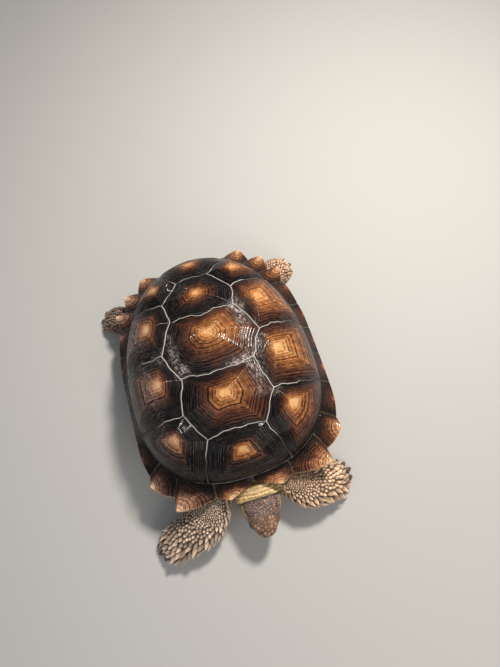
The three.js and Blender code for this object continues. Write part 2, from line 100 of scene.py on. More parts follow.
class SkinSettings(bpy.types.PropertyGroup):
    """Depth, grain and markings of the skin."""
    depth: length_setting("Depth", "How far the skin lies inside the solids", 0.0014, 0.0005, 0.003)
    grain: length_setting("Grain", "Size of the skin's faces", 0.0020, 0.0015, 0.004)
    leg: colour_setting("Legs", "Skin between the scales of the legs", "#857060")
    neck: colour_setting("Hood", "Loose skin of the neck", "#dfbd86")
    crown: colour_setting("Crown", "Top of the head", "#7c6358")
    snout: colour_setting("Snout", "Pale plates of the snout", "#a3774f")
    cheek: colour_setting("Cheeks", "Sides of the head and its folds", "#a08767")


class ScaleSettings(bpy.types.PropertyGroup):
    """Sizes and colours of scales, claws, beak and eyes."""
    granule: length_setting("Granule", "Width of the small scales high on a foreleg", 0.0042, 0.002, 0.008)
    spur: length_setting("Spur", "Width of the largest scales of a foreleg", 0.0132, 0.006, 0.02)
    pale: colour_setting("Scale points", "Worn points of the large scales", "#dcb896")
    claw: colour_setting("Claws", "Worn ends of the claws", "#5c4839")
    beak: colour_setting("Beak", "Horn of the jaws' edges", "#8d6a48")
    iris: colour_setting("Iris", "Dark brown of the eye round its pupil", "#3c2a1a")


class StageSettings(bpy.types.PropertyGroup):
    """Floor and studio light."""
    floor: colour_setting("Floor", "Colour of the plain floor", "#bfbdb9")
    key: power_setting("Key light", "Bright light over the animal's left side", 32.0)
    fill: power_setting("Fill light", "Cool soft light over the animal's right side", 4.5)
    front: power_setting("Front light", "Soft light over the head", 9.5)
    room: FloatProperty(name="Room light", description="Even light from all sides", default=0.17, min=0, max=5)


class TortoiseSettings(bpy.types.PropertyGroup):
    """Everything about the tortoise that a user may change."""
    horn: PointerProperty(type=HornSettings, name="Horn", description="The shell's horn")
    skin: PointerProperty(type=SkinSettings, name="Skin", description="The skin")
    scales: PointerProperty(type=ScaleSettings, name="Scales", description="Scales, claws, beak and eyes")
    stage: PointerProperty(type=StageSettings, name="Stage", description="Floor and lights")


def settings():
    return bpy.context.scene.tortoise


# ---------------------------------------------------------------- sizes of the shell

MM = 0.001
SHELL_Y = 10.0          # the shell's widest station
CROWN_Z = 197.0
PLATE = 11.0            # thickness of a plate, horn and bone
PLATE_GAP = 0.3         # half the gap between two plates, under their seam
BODY_GAP = 3.8          # between the plates and the body inside


class Oval:
    """An oval around the shell: superellipses of two powers, in front of and behind SHELL_Y."""

    def __init__(self, half, front, rear, front_power, rear_power):
        self.half, self.front, self.rear = half, front, rear
        self.front_power, self.rear_power = front_power, rear_power

    def radius(self, across, along):
        power = np.where(along < 0, self.front_power, self.rear_power)
        return (np.abs(across) ** power + np.abs(along) ** power) ** (1 / power)

    def length(self, along):
        return np.where(along < 0, self.front, self.rear)

    def point(self, degrees, out=0.0):
        """x and y in direction `degrees` (0 at the left side, 90 at the tail), moved out by `out`."""
        across, along = np.cos(np.radians(degrees)), np.sin(np.radians(degrees))
        radius = self.radius(across, along)
        x = (self.half + out) * across / radius
        y = SHELL_Y + (self.length(along) + out) * along / radius
        return x, y


RIM = Oval(178, 192, 248, 2.5, 2.1)         # where the big scutes end
EDGE = Oval(195, 212, 273, 3.5, 3.0)        # the free edge of the marginals
RIM_Z = {"side": 85, "front": 98, "rear": 105}
EDGE_Z = {"side": 60, "front": 92, "rear": 66}
FLATTEN = 1.6                               # spreads the laid-out dome evenly

# Where the seams of the big scutes meet: x and y, on the left side (v, c) and the midline (m).
CORNERS = {
    "v12": (52.5, -110), "c12": (81, -60), "v23": (65.5, 0), "c23": (90, 52),
    "v34": (61, 111), "c34": (66, 151), "v45": (31, 191),
    "m12": (0, -106), "m23": (0, -7), "m34": (0, 105), "m45": (0, 194),
}
# Where they end on the rim, in degrees.
RIM_ENDS = {"front": -90, "r1": -65, "r2": -17.8, "r3": 12.2, "r4": 39.4, "r5": 65, "rear": 90}

# Every vertebral goes on as its outline's mirror image. An outline is followed by the place that
# the scute grew from, its rise, its rings, how far its amber reaches and the way the amber leans.
VERTEBRALS = (
    ("front r1 v12 m12", (0, -136), 6, 14, 0.30, (0.1, 0.0)),
    ("m12 v12 c12 v23 m23", (0, -45), 8.5, 17, 0.60, (0.3, 0.0)),
    ("m23 v23 c23 v34 m34", (0, 62), 9, 17, 0.64, (0.35, 0.1)),
    ("m34 v34 c34 v45 m45", (0, 145), 7, 15, 0.39, (0.0, -0.1)),
    ("m45 v45 r5 rear", (0, 224), 6, 12, 0.36, (0.0, -0.2)),
)
# The same for the left costals, with the amber's reach on the left and the right.
COSTALS = (
    ("v12 r1 r2 c12", (99, -88), 15, (0.50, 0.30)),
    ("v23 c12 r2 r3 c23", (102, 6), 17, (0.70, 0.42)),
    ("v34 c23 r3 r4 c34", (99, 110), 17, (0.70, 0.44)),
    ("v45 c34 r4 r5", (74, 186), 13, (0.48, 0.40)),
)
COSTAL_RISE = 9
COSTAL_LEAN = {"left": (0.2, 0.0), "right": (-0.1, 0.0)}
SEAM_COURSES = ("r1 v12 c12 v23 c23 v34 c34 v45 r5", "c12 r2", "c23 r3", "c34 r4")

SIDES = {"left": 1, "right": -1}

MARGINAL_RIM = (-90, -67.5, -47.5, -35.4, -17.8, -1, 12.2, 24.4, 39.4, 48.2, 57.6, 69.3)
MARGINAL_EDGE = (-90, -69.7, -50, -34.6, -17.2, -1, 11.4, 22.6, 34.5, 43, 54, 68)
EDGE_INSET = (12, 1, 1, 1, 0, 0, 0, 1, 6, 7, 8, 7)
TIP_REACH = (14, 22, 10, 1, 0, 0, 1, 3, 18, 16, 15)
TIP_LIFT = (2, 4, 3, 0, 0, 0, 0, 2, 6, 7, 6)
TIP_PLACE = (0.65, 0.84, 0.78, 0.5, 0.5, 0.5, 0.5, 0.72, 0.5, 0.48, 0.45)
SUPRACAUDAL_REACH, SUPRACAUDAL_LIFT = -14, -15
FLARE = 0.75            # below 1 the marginals drop steeply first and then flare out
POINTED = 5             # a marginal whose tip reaches further than this ends in a point

PLASTRON_PLATES = ("gular", "humeral", "pectoral", "abdominal", "femoral", "anal")
PLASTRON_SEAMS = (-198, -166, -100, -66, 66, 142, 188)
SEAM_SWEEP = (-11, 10, -6, 34, 8, -18, 14)
LOBE_HALF = (27, 52, 97, 0, 98, 72, 30)
FLAT_HALF, BRIDGE_HALF, BRIDGE_RISE = 95, 186, 47
BRIDGE_NOTCH, BRIDGE_Y, BRIDGE_REACH = 34, -8, 92

# ---------------------------------------------------------------- sizes of the flesh

TRUNK_LEVELS = (                             # z, half width, reach to the front and rear
    (13.5, 92, 160, 166), (25, 124, 162, 172), (38, 146, 163, 184), (56, 162, 164, 204),
    (76, 165, 168, 232),
)
SNOUT_Y, COLLAR_Y, HEAD_Z, HEAD_TURN = -288.0, -221.0, 60.0, 0.035
HEAD_LONG = COLLAR_Y - SNOUT_Y
HEAD_HALF = 44                               # nothing beside this belongs to the head
HEAD_SHAPE = (                               # back from the snout, half width, top, bottom
    (0, 7.5, 5, 6), (3, 12, 10, 11), (12, 19, 15.5, 15), (25, 26, 20.5, 18),
    (40, 32, 23.5, 20.5), (54, 35.5, 25, 22.5), (66.5, 36.5, 25.5, 23),
)
EYE_BACK, EYE_SINK, EYE_RISE = 27.0, 4.6, 5.0
EYEBALL = 6.5                                # radius; the lids close round it
MOUTH_BACK, MOUTH_LIP, MOUTH_DROP = 40.0, -0.5, -5.0
GROOVE_BACK = 9.5                            # the crease across the snout, behind the nostrils
FOLD_START = {"left": 24, "right": 32}       # where the neck's loose skin starts on the head
TUBE_POWER, HEAD_POWER = 2.3, 2.2            # sections a little squarer than an ellipse

NECK = (                                     # path, and half width and half thickness along it
    ((0, -128, 50), (0, -160, 50), (0, -192, 53), (-1, -212, 58), (-1.5, -222, 60)),
    ((46, 31), (45, 30), (44, 28.5), (44.5, 28), (40.5, 27.5)),
)
TAIL = (
    ((0, 168, 44), (0, 205, 40), (4, 236, 30), (12, 258, 18), (20, 268, 10)),
    ((24, 20), (20, 17), (14, 13), (9, 8), (4, 4)),
)
FORE_GIRTH = ((30, 26), (33, 27), (38, 27), (36, 24), (31, 19), (20, 11))
HIND_GIRTH = ((33, 24), (32, 23), (30, 22), (29, 24), (28, 26), (27, 26))
LIMBS = {
    "fore_right": (
        ((-78, -128, 58), (-80, -184, 54), (-106, -226, 42), (-148, -242, 30), (-180, -250, 18),
         (-197, -254, 12)), FORE_GIRTH),
    "fore_left": (
        ((78, -128, 58), (68, -190, 53), (92, -223, 42), (124, -226, 31), (150, -222, 18),
         (165, -219, 12)), (*FORE_GIRTH[:2], (37, 27), (35, 24), *FORE_GIRTH[4:])),
    "hind_right": (
        ((-92, 148, 50), (-122, 180, 42), (-155, 206, 32), (-179, 221, 21), (-187, 227, 5),
         (-187, 227, -8)), HIND_GIRTH),
    "hind_left": (
        ((92, 148, 50), (122, 180, 42), (150, 208, 32), (172, 223, 21), (180, 228, 5),
         (180, 228, -8)), HIND_GIRTH),
}
CLAWS = {               # number, spread either way in degrees, reach, length, thickness
    "fore_right": (5, 56, 25, 21, 5.0),
    "fore_left": (5, 56, 25, 20, 5.0),
    "hind_right": (4, 50, 28, 22, 5.5),
    "hind_left": (4, 50, 27, 20, 5.5),
}

# ---------------------------------------------------------------- the model's frame

# The trunk's solid is even about the midline, and its front end is the laid-in rim's.
TRUNK_LOW, TRUNK_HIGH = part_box("trunk")
ORIGIN = np.array([
    (TRUNK_LOW.x + TRUNK_HIGH.x) / 2,
    TRUNK_LOW.y + (RIM.front - PLATE - BODY_GAP - SHELL_Y) * MM,
    0.0,
])


def to_frame(points):
    return np.asarray(points, float) * MM + ORIGIN


def lerp(a, b, part):
    return a + (b - a) * part


def smooth(value, low, high):
    """0 below low, 1 above high and an even S between."""
    part = np.clip((value - low) / (high - low), 0, 1)
    return part * part * (3 - 2 * part)


def bump(distance, width):
    """1 in the middle, fading to 0 about two widths away."""
    return np.exp(-(distance / width) ** 2)


def signed_power(value, power):
    return np.sign(value) * np.abs(value) ** power


def direction(vectors):
    """The vectors made 1 long."""
    return vectors / np.maximum(np.linalg.norm(vectors, axis=-1, keepdims=True), 1e-9)


def wrinkle(points, scale, seed=0.0):
    """Smooth noise from -1 to 1, about 1 / scale mm from crest to crest."""
    return np.array([noise(Vector((p[0] * scale, p[1] * scale, p[2] * scale + seed))) for p in points])


# ---------------------------------------------------------------- meshes

def deselect():
    if bpy.context.object and bpy.context.object.mode != "OBJECT":
        bpy.ops.object.mode_set(mode="OBJECT")
    bpy.ops.object.select_all(action="DESELECT")


def activate(piece):
    deselect()
    piece.select_set(True)
    bpy.context.view_layer.objects.active = piece


def new_piece(name):
    """Names the piece that was just added."""
    piece = bpy.context.object
    piece.name = piece.data.name = name
    return piece


def edit(piece, *steps):
    """Runs edit-mode steps on everything in the piece."""
    activate(piece)
    bpy.ops.object.mode_set(mode="EDIT")
    bpy.ops.mesh.select_all(action="SELECT")
    for step in steps:
        step()
    bpy.ops.object.mode_set(mode="OBJECT")


def weld():
    bpy.ops.mesh.remove_doubles(threshold=0.02 * MM)


def face_out():
    bpy.ops.mesh.normals_make_consistent(inside=False)


def extrude(depth):
    bpy.ops.mesh.extrude_region_move(TRANSFORM_OT_translate={"value": (0, 0, depth)})


def read(piece, what="co"):
    """Three numbers a vertex: its place in the model's frame, or its normal."""
    values = np.empty(len(piece.data.vertices) * 3)
    piece.data.vertices.foreach_get(what, values)
    return values.reshape(-1, 3)


def write(piece, places):
    piece.data.vertices.foreach_set("co", np.asarray(places, np.float32).ravel())
    piece.data.update()


def get_points(piece):
    """The vertices in the tortoise's frame."""
    return (read(piece) - ORIGIN) / MM


def set_points(piece, points):
    """Moves the vertices to points of the tortoise's frame."""
    write(piece, to_frame(points))


def new_grid(name, columns, rows, slab=False):
    """A grid over the unit square, or a slab from z = 0 down to -1, and its vertices' places."""
    deselect()
    bpy.ops.mesh.primitive_grid_add(x_subdivisions=columns, y_subdivisions=rows, size=1)
    piece = new_piece(name)
    write(piece, read(piece) + [0.5, 0.5, 0])
    if slab:
        edit(piece, lambda: extrude(-1))
    return piece, read(piece)


ATTRIBUTES = {1: ("FLOAT", "value"), 3: ("FLOAT_VECTOR", "vector"), 4: ("FLOAT_COLOR", "color")}


def keep(piece, **attributes):
    """Keeps a number, three numbers or a colour a vertex under each name, for the materials."""
    for name, values in attributes.items():
        if isinstance(values, tuple):
            values = np.stack(values, axis=1)
        values = np.asarray(values, np.float32)
        kind, field = ATTRIBUTES[values.size // len(piece.data.vertices)]
        piece.data.attributes.new(name, kind, "POINT").data.foreach_set(field, values.ravel())


def join(parts, name):
    """Joins pieces into one."""
    deselect()
    for part in parts:
        part.select_set(True)
    bpy.context.view_layer.objects.active = parts[0]
    bpy.ops.object.join()
    return new_piece(name)


def apply(piece, kind, **options):
    """Adds a modifier to the piece and applies it."""
    activate(piece)
    modifier = piece.modifiers.new(kind, kind)
    for option, value in options.items():
        setattr(modifier, option, value)
    bpy.ops.object.modifier_apply(modifier=modifier.name)


def finish(piece, look, nodes=(), angle=35):
    """Gives a piece the material of look(tree), smooth shading and its place on the frame."""
    activate(piece)
    bpy.ops.object.shade_smooth_by_angle(angle=math.radians(angle))
    piece.data.materials.clear()
    piece.data.materials.append(material(look))
    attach(piece, "root")
    if nodes:
        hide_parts(*nodes)


# ---------------------------------------------------------------- materials

def fill(tree, node, inputs):
    """Gives a node's inputs, by place or name, their values or links."""
    for socket, value in inputs.items():
        if isinstance(value, bpy.types.NodeSocket):
            tree.links.new(value, node.inputs[socket])
        else:
            node.inputs[socket].default_value = value


def add_node(tree, kind, inputs=None, stops=(), out=0, **options):
    """Adds a node with its inputs, options and a ramp's (place, colour) stops.

    It returns one output of the node, or all of them where out is None.
    """
    node = tree.nodes.new("ShaderNode" + kind)
    for name, value in options.items():
        setattr(node, name, value)
    fill(tree, node, inputs or {})
    if stops:
        elements = node.color_ramp.elements
        while len(elements) < len(stops):
            elements.new(0.5)
        for element, (at, colour) in zip(elements, stops):
            element.position = at
            if isinstance(colour, str):
                colour = linear(colour)
            element.color = colour if hasattr(colour, "__len__") else (colour, colour, colour, 1)
    return node.outputs if out is None else node.outputs[out]


# Options of a colour mix, whose inputs 0, 6 and 7 are its share and the two colours.
MIX = {"data_type": "RGBA", "out": 2}
MULTIPLY = {**MIX, "blend_type": "MULTIPLY"}

KERATIN_IOR, WATER_IOR = 1.54, 1.33


def material(look):
    """The material of look(tree), which gives the shader's inputs; made once, with its name."""
    made = bpy.data.materials.get(look.__name__)
    if made is None:
        made = bpy.data.materials.new(look.__name__)
        made.use_nodes = True
        tree = made.node_tree
        fill(tree, tree.nodes["Principled BSDF"], look(tree))
    return made


def tint(colour, amount):
    """A lighter or darker colour."""
    return (*[min(1.0, c * amount) for c in colour[:3]], 1.0)


def vector_of(tree, name):
    """A vector attribute, whole and as its three numbers."""
    vector = add_node(tree, "Attribute", out="Vector", attribute_name=name)
    return vector, *add_node(tree, "SeparateXYZ", {0: vector}, out=None)


def keratin(tree, flake, edge_of, bleach=0.0):
    """Wet keratin: amber middles, growth rings of uneven brown, dark new growth.

    Water on it gives small sharp highlights over a ringed surface. flake is the ramp of its
    worn places, which on the animal's right flank stand for a painted grey sheen, edge_of(tree,
    part, blotch) gives the share of new horn at the seams, and bleach pales the amber. Painted
    sheen lines and a painted cool reflection on the right flank are laid into the colour too.
    """
    add, horn = partial(add_node, tree), settings().horn
    areola, amber = (tint([lerp(c, sum(tone[:3]) / 3, bleach) for c in tone], 1 + 2 * bleach)
                     for tone in (horn.areola, horn.amber))
    brown, dark = (partial(tint, tone) for tone in (horn.brown, horn.dark))
    rings, count, _, _ = vector_of(tree, "growth")
    _, part, tone, wear_and_sheen = vector_of(tree, "horn")
    crest = add("Attribute", out="Fac", attribute_name="crest")
    place = add("TexCoord", out="Object")

    # Streaks and hairs follow the rings, fast across them and slow along them; rays run across.
    streaks, hairs, rays = (
        add("TexNoise", {"Vector": add("VectorMath", {0: rings, 1: (over, round_it, round_it)},
                                       operation="MULTIPLY"),
                         "Scale": scale, "Detail": detail, "Roughness": rough})
        for over, round_it, scale, detail, rough in (
            (1.0, 2.4, 1.5, 6, 0.68), (3.2, 4.0, 1.3, 4, 0.7), (0.12, 2.6, 1.4, 3, 0.6)))
    years = add("TexNoise", {"W": count, "Scale": 1.1, "Detail": 2}, noise_dimensions="1D")
    blotch, pits = (
        add("TexNoise", {"Vector": place, "Scale": scale, "Detail": detail, "Roughness": rough})
        for scale, detail, rough in ((26, 6, 0.6), (190, 4, 0.7)))

    # How far out the colour counts: the distance in units of the amber's reach, made uneven.
    spread = tone
    for source, weight in ((streaks, 0.35), (rays, 1.0), (blotch, 0.8), (pits, 0.5)):
        off = add("Math", {0: source, 1: 0.5}, operation="SUBTRACT")
        spread = add("Math", {0: off, 1: weight, 2: spread}, operation="MULTIPLY_ADD")
    spread = add("Math", {0: crest, 1: -0.12, 2: spread}, operation="MULTIPLY_ADD")
    spread = add("Math", {0: spread, 1: 0.5}, operation="MULTIPLY")
    light = add("ValToRGB", {0: spread}, stops=(
        (0.0, areola), (0.15, tint(amber, 1.45)), (0.27, amber), (0.40, brown(1.5)),
        (0.54, brown(0.85)), (0.67, brown(0.28)), (0.80, horn.dark)))
    deep = add("ValToRGB", {0: spread}, stops=(
        (0.0, tint(areola, 0.55)), (0.10, tint(amber, 0.75)), (0.22, brown(0.8)), (0.36, brown(0.30)),
        (0.50, brown(0.12)), (0.64, dark(0.7)), (0.80, dark(0.5))))

    # Years of light and of dark growth, hair-thin lines in them, and a dark line at each stop.
    band = add("Math", {0: streaks, 1: 0.45, 2: years}, operation="MULTIPLY_ADD")
    band = add("ValToRGB", {0: band}, stops=((0.64, 0.0), (0.76, 1.0)))
    lines = add("ValToRGB", {0: hairs}, stops=((0.36, 0.25), (0.50, 0.9), (0.66, 1.3)))
    year = add("Math", {0: count}, operation="FRACT")
    stop = add("ValToRGB", {0: year}, stops=((0.0, 0.12), (0.22, 1.0), (0.78, 1.0), (1.0, 0.12)))
    stop = add("Mix", {0: 0.15, 6: stop, 7: (1, 1, 1, 1)}, **MIX)
    colour = add("Mix", {0: band, 6: deep, 7: light}, **MIX)
    ringed = add("Mix", {0: 1.0, 6: lines, 7: stop}, **MULTIPLY)
    grown = add("ValToRGB", {0: part}, stops=((0.04, 0.25), (0.24, 0.85), (0.6, 1.0)))
    colour = add("Mix", {0: grown, 6: colour, 7: ringed}, **MULTIPLY)

    # Painted highlights: thin broken lines of pale lilac sheen follow the rings through the dark growth.
    dry = add("ValToRGB", {0: year}, stops=((0.0, 1.0), (0.14, 0.0), (0.86, 0.0), (1.0, 1.0)))
    for source, ends in ((spread, ((0.40, 0.0), (0.62, 1.0))), (streaks, ((0.44, 0.05), (0.62, 0.6)))):
        share = add("ValToRGB", {0: source}, stops=ends)
        dry = add("Math", {0: dry, 1: share}, operation="MULTIPLY")
    colour = add("Mix", {0: dry, 6: colour, 7: tint(horn.new_horn, 0.30)}, **MIX)

    # Flaked places: chips of grey and white with dark pits between, torn along the rings. On the animal's right
    # flank the same chips are a painted grey sheen.
    torn = add("Math", {0: hairs, 1: 0.45}, operation="MULTIPLY")
    torn = add("Math", {0: pits, 1: 0.55, 2: torn}, operation="MULTIPLY_ADD")
    worn = add("ValToRGB", {0: torn}, stops=((0.42, 0.12), (0.56, 1.0)))
    worn = add("Math", {0: wear_and_sheen, 1: worn}, operation="MULTIPLY", use_clamp=True)
    flakes = add("ValToRGB", {0: torn}, stops=flake)
    colour = add("Mix", {0: worn, 6: colour, 7: flakes}, **MIX)
    edge = edge_of(tree, part, blotch)
    colour = add("Mix", {0: edge, 6: colour, 7: tint(horn.new_horn, 0.32)}, **MIX)

    # Painted cool reflection on the animal's right flank: the same rings in greyer colours.
    side = add("SeparateXYZ", {0: place})
    flank = add("Math", {0: side, 1: -9.0, 2: -0.4}, operation="MULTIPLY_ADD", use_clamp=True)
    strong = add("Math", {0: flank, 1: -0.2, 2: 1.0}, operation="MULTIPLY_ADD")
    colour = add("HueSaturation", {"Saturation": strong, "Color": colour})

    # Rings, hairs and flakes in relief; the depth is in metres.
    waves = add("Math", {0: count, 1: 3.0}, operation="MULTIPLY")
    waves = add("Math", {0: waves, 1: 0.5}, operation="PINGPONG")
    height = add("Math", {0: hairs, 1: 1.3, 2: waves}, operation="MULTIPLY_ADD")
    height = add("Math", {0: worn, 1: pits, 2: height}, operation="MULTIPLY_ADD")
    relief = add("Bump", {"Height": height, "Strength": 0.65, "Distance": 0.0006})
    film = add("Bump", {"Height": streaks, "Strength": 0.08, "Distance": 0.0009})
    rough = add("Math", {0: worn, 1: 0.35, 2: hairs}, operation="MULTIPLY_ADD")
    rough = add("ValToRGB", {0: rough}, stops=((0.3, 0.22), (0.6, 0.36), (1.0, 0.7)))
    return {"Base Color": colour, "Roughness": rough, "Normal": relief, "IOR": KERATIN_IOR,
            "Specular IOR Level": 0.05, "Coat Weight": 0.60, "Coat Roughness": 0.04,
            "Coat IOR": WATER_IOR, "Coat Normal": film}


def wet_carapace_keratin(tree):
    """Horn of the big scutes, with a thin line of new horn beside each seam."""

    def new_growth(tree, part, blotch):
        near = add_node(tree, "Math", {0: blotch, 1: 0.03, 2: part}, operation="MULTIPLY_ADD")
        near = add_node(tree, "Math", {0: near, 1: 0.985}, operation="SUBTRACT")
        near = add_node(tree, "Math", {0: near, 1: 30.0}, operation="MULTIPLY")
        return add_node(tree, "ValToRGB", {0: near}, stops=((0.1, 0.0), (0.9, 1.0)))

    return keratin(tree, ((0.42, "#120f10"), (0.50, "#655b59"), (0.60, "#e0d0c8")), new_growth)


def wet_marginal_keratin(tree):
    """Horn of the marginals: worn through to pale horn along the free edge."""
    pale = tint(settings().horn.areola, 0.9)
    return keratin(tree, ((0.36, tint(pale, 0.55)), (0.6, pale)), lambda *_: 0.0, bleach=0.17)


def new_seam_keratin(tree):
    """New horn in the seams: pale on top of the shell, darker lower down, and a little paler along the front of
    the rim.
    """
    add, horn = partial(add_node, tree), settings().horn
    dry = add("Attribute", out="Fac", attribute_name="dry")
    grain = add("TexNoise", {"Vector": add("TexCoord", out="Object"), "Scale": 60, "Detail": 5,
                             "Roughness": 0.6})
    share = add("Math", {0: grain, 1: 1.1, 2: dry}, operation="MULTIPLY_ADD")
    colour = add("ValToRGB", {0: share}, stops=(
        (0.35, tint(horn.dark, 1.6)), (0.75, tint(horn.new_horn, 0.26)), (1.0, tint(horn.new_horn, 0.9))))
    relief = add("Bump", {"Height": grain, "Strength": 0.4, "Distance": 0.0006})
    return {"Base Color": colour, "Normal": relief, "Roughness": 0.5, "IOR": KERATIN_IOR}


def plastron_keratin(tree):
    """Dry horn of the underside: straw yellow, brown where each plate has grown."""
    add, straw = partial(add_node, tree), partial(tint, settings().horn.straw)
    _, count, _, _ = vector_of(tree, "growth")
    _, _, tone, _ = vector_of(tree, "horn")
    blotch = add("TexNoise", {"Vector": add("TexCoord", out="Object"), "Scale": 20, "Detail": 6,
                              "Roughness": 0.6})
    spread = add("Math", {0: blotch, 1: 1.8, 2: tone}, operation="MULTIPLY_ADD")
    spread = add("Math", {0: spread, 1: 0.62, 2: -0.42}, operation="MULTIPLY_ADD")
    base = add("ValToRGB", {0: spread}, stops=(
        (0.05, straw(0.5)), (0.25, straw(0.8)), (0.5, straw(1)), (0.75, straw(0.6)),
        (0.95, tint(settings().horn.brown, 0.9))))
    year = add("Math", {0: count}, operation="FRACT")
    stop = add("ValToRGB", {0: year}, stops=((0.0, 0.42), (0.16, 1.0), (0.84, 1.0), (1.0, 0.42)))
    colour = add("Mix", {0: 0.7, 6: base, 7: stop}, **MULTIPLY)
    relief = add("Bump", {"Height": blotch, "Strength": 0.35, "Distance": 0.0008})
    return {"Base Color": colour, "Normal": relief, "Roughness": 0.44, "IOR": KERATIN_IOR}


def leathery_skin(tree):
    """Skin between the scales: leathery, in cells of about 2 mm parted by fine cracks."""
    add = partial(add_node, tree)
    hide = add("Attribute", out="Color", attribute_name="hide")
    place = add("TexCoord", out="Object")
    cells = add("TexVoronoi", {"Vector": place, "Scale": 430}, feature="DISTANCE_TO_EDGE")
    mottle = add("TexNoise", {"Vector": place, "Scale": 90, "Detail": 6, "Roughness": 0.65})
    tone = add("ValToRGB", {0: mottle}, stops=((0.3, 0.55), (0.5, 0.95), (0.72, 1.35)))
    cracks = add("ValToRGB", {0: cells}, stops=((0.0, 0.5), (0.12, 1.0)))
    colour = add("Mix", {0: 1.0, 6: hide, 7: tone}, **MULTIPLY)
    colour = add("Mix", {0: 0.8, 6: colour, 7: cracks}, **MULTIPLY)
    height = add("Math", {0: cells, 1: 2.0, 2: mottle}, operation="MULTIPLY_ADD")
    relief = add("Bump", {"Height": height, "Strength": 0.6, "Distance": 0.0006})
    return {"Base Color": colour, "Normal": relief, "Roughness": 0.55, "IOR": 1.45}


def scale_keratin(tree):
    """Horny scales: painted shade darkens their roots, and their points are paler, partly worn horn and partly
    painted highlight.
    """
    add = partial(add_node, tree)
    hide = add("Attribute", out="Color", attribute_name="hide")
    _, chance, level, _ = vector_of(tree, "scale")
    grain = add("TexNoise", {"Vector": add("TexCoord", out="Object"), "Scale": 280, "Detail": 5,
                             "Roughness": 0.6})
    colour = hide
    for share, source, stops in (
        (1.0, chance, ((0.0, 0.62), (0.5, 0.98), (1.0, 1.35))),
        # Painted shade at the roots; the paler points are partly worn horn and partly painted highlight.
        (1.0, level, ((0.0, 0.05), (0.36, 0.27), (0.66, 0.82), (1.0, 1.45))),
        (0.85, grain, ((0.3, 0.66), (0.62, 1.12))),
    ):
        tone = add("ValToRGB", {0: source}, stops=stops)
        colour = add("Mix", {0: share, 6: colour, 7: tone}, **MULTIPLY)
    relief = add("Bump", {"Height": grain, "Strength": 0.4, "Distance": 0.0005})
    return {"Base Color": colour, "Normal": relief, "Roughness": 0.42, "IOR": 1.5,
            "Coat Weight": 0.3, "Coat Roughness": 0.12, "Coat IOR": WATER_IOR}


def worn_horn(tree, pale):
    """Thick horn, streaked: dark at its root and worn pale at its end."""
    add = partial(add_node, tree)
    out = add("Attribute", out="Fac", attribute_name="claw")
    grain = add("TexNoise", {"Vector": add("TexCoord", out="Object"), "Scale": 160, "Detail": 6,
                             "Roughness": 0.7})
    share = add("Math", {0: grain, 1: 0.9, 2: out}, operation="MULTIPLY_ADD")
    colour = add("ValToRGB", {0: share}, stops=((0.5, tint(pale, 0.16)), (0.8, tint(pale, 0.7)), (1.0, pale)))
    relief = add("Bump", {"Height": grain, "Strength": 0.3, "Distance": 0.0005})
    return {"Base Color": colour, "Normal": relief, "Roughness": 0.38, "IOR": KERATIN_IOR}


def claw_keratin(tree):
    """Claws: nearly black horn with scuffed brown ends."""
    return worn_horn(tree, settings().scales.claw)


def beak_keratin(tree):
    """The jaws' edges: the same horn, browner."""
    return worn_horn(tree, settings().scales.beak)


def wet_eye(tree):
    """A wet eye: black pupil, very dark brown iris, near-black white."""
    add, iris = partial(add_node, tree), settings().scales.iris
    out = add("Attribute", out="Fac", attribute_name="gaze")
    flecks = add("TexNoise", {"Vector": add("TexCoord", out="Object"), "Scale": 900, "Detail": 3})
    colour = add("ValToRGB", {0: out}, stops=(
        (0.50, "#181210"), (0.76, tint(iris, 0.5)), (0.82, tint(iris, 1.5)), (0.92, iris), (0.955, "#040303")))
    speckle = add("ValToRGB", {0: flecks}, stops=((0.35, 0.6), (0.65, 1.3)))
    colour = add("Mix", {0: 0.5, 6: colour, 7: speckle}, **MULTIPLY)
    return {"Base Color": colour, "Roughness": 0.06, "IOR": 1.376, "Coat Weight": 1.0, "Coat Roughness": 0.02}


def matt_floor(tree):
    """Plain pale paint, dead matt."""
    return {"Base Color": settings().stage.floor, "Roughness": 0.9}


# ---------------------------------------------------------------- the shell's surface

def rim_height(sine):
    return lerp(RIM_Z["side"], np.where(sine < 0, RIM_Z["front"], RIM_Z["rear"]), sine * sine)


def lay_out(x, y):
    """The dome laid out flat: its crown is in the middle and its rim at distance 1."""
    across = x / RIM.half
    along = (y - SHELL_Y) / RIM.length(y - SHELL_Y)
    radius = RIM.radius(across, along)
    even = (1 - (1 - radius) ** (1 / FLATTEN)) / radius
    return np.array([across * even, along * even])


def rim_place(degrees):
    across, along = math.cos(math.radians(degrees)), math.sin(math.radians(degrees))
    return np.array([across, along]) / RIM.radius(across, along)


def dome_point(flat, out):
    """Points of the dome over (u, v), moved out by `out`."""
    u, v = flat[..., 0], flat[..., 1]
    even = np.maximum(RIM.radius(u, v), 1e-6)
    radius = 1 - (1 - np.minimum(even, 1)) ** FLATTEN
    stretch = radius / even
    rise = (1 - radius ** 3) ** (2 / 3)
    along = v * stretch
    return np.stack([
        (RIM.half + out) * u * stretch,
        SHELL_Y + (RIM.length(along) + out) * along,
        lerp(rim_height(along / radius), CROWN_Z + out, rise),
    ], axis=-1)


def seam_wave(flat):
    """How far a seam wanders from its straight course, in (u, v); none at the rim."""
    u, v = flat[..., 0], flat[..., 1]
    hold = 0.0058 * (1 - np.clip(RIM.radius(u, v), 0, 1) ** 4)
    du = np.sin(31 * v + 9 * u) + 0.42 * np.sin(67 * v - 21 * u + 1.3) + 0.15 * np.sin(140 * v + 2.1)
    dv = np.sin(29 * u - 7 * v + 0.7) + 0.42 * np.sin(71 * u + 17 * v + 2.9) + 0.15 * np.sin(150 * u + 0.4)
    return flat + np.stack([du, dv], axis=-1) * hold[..., None]


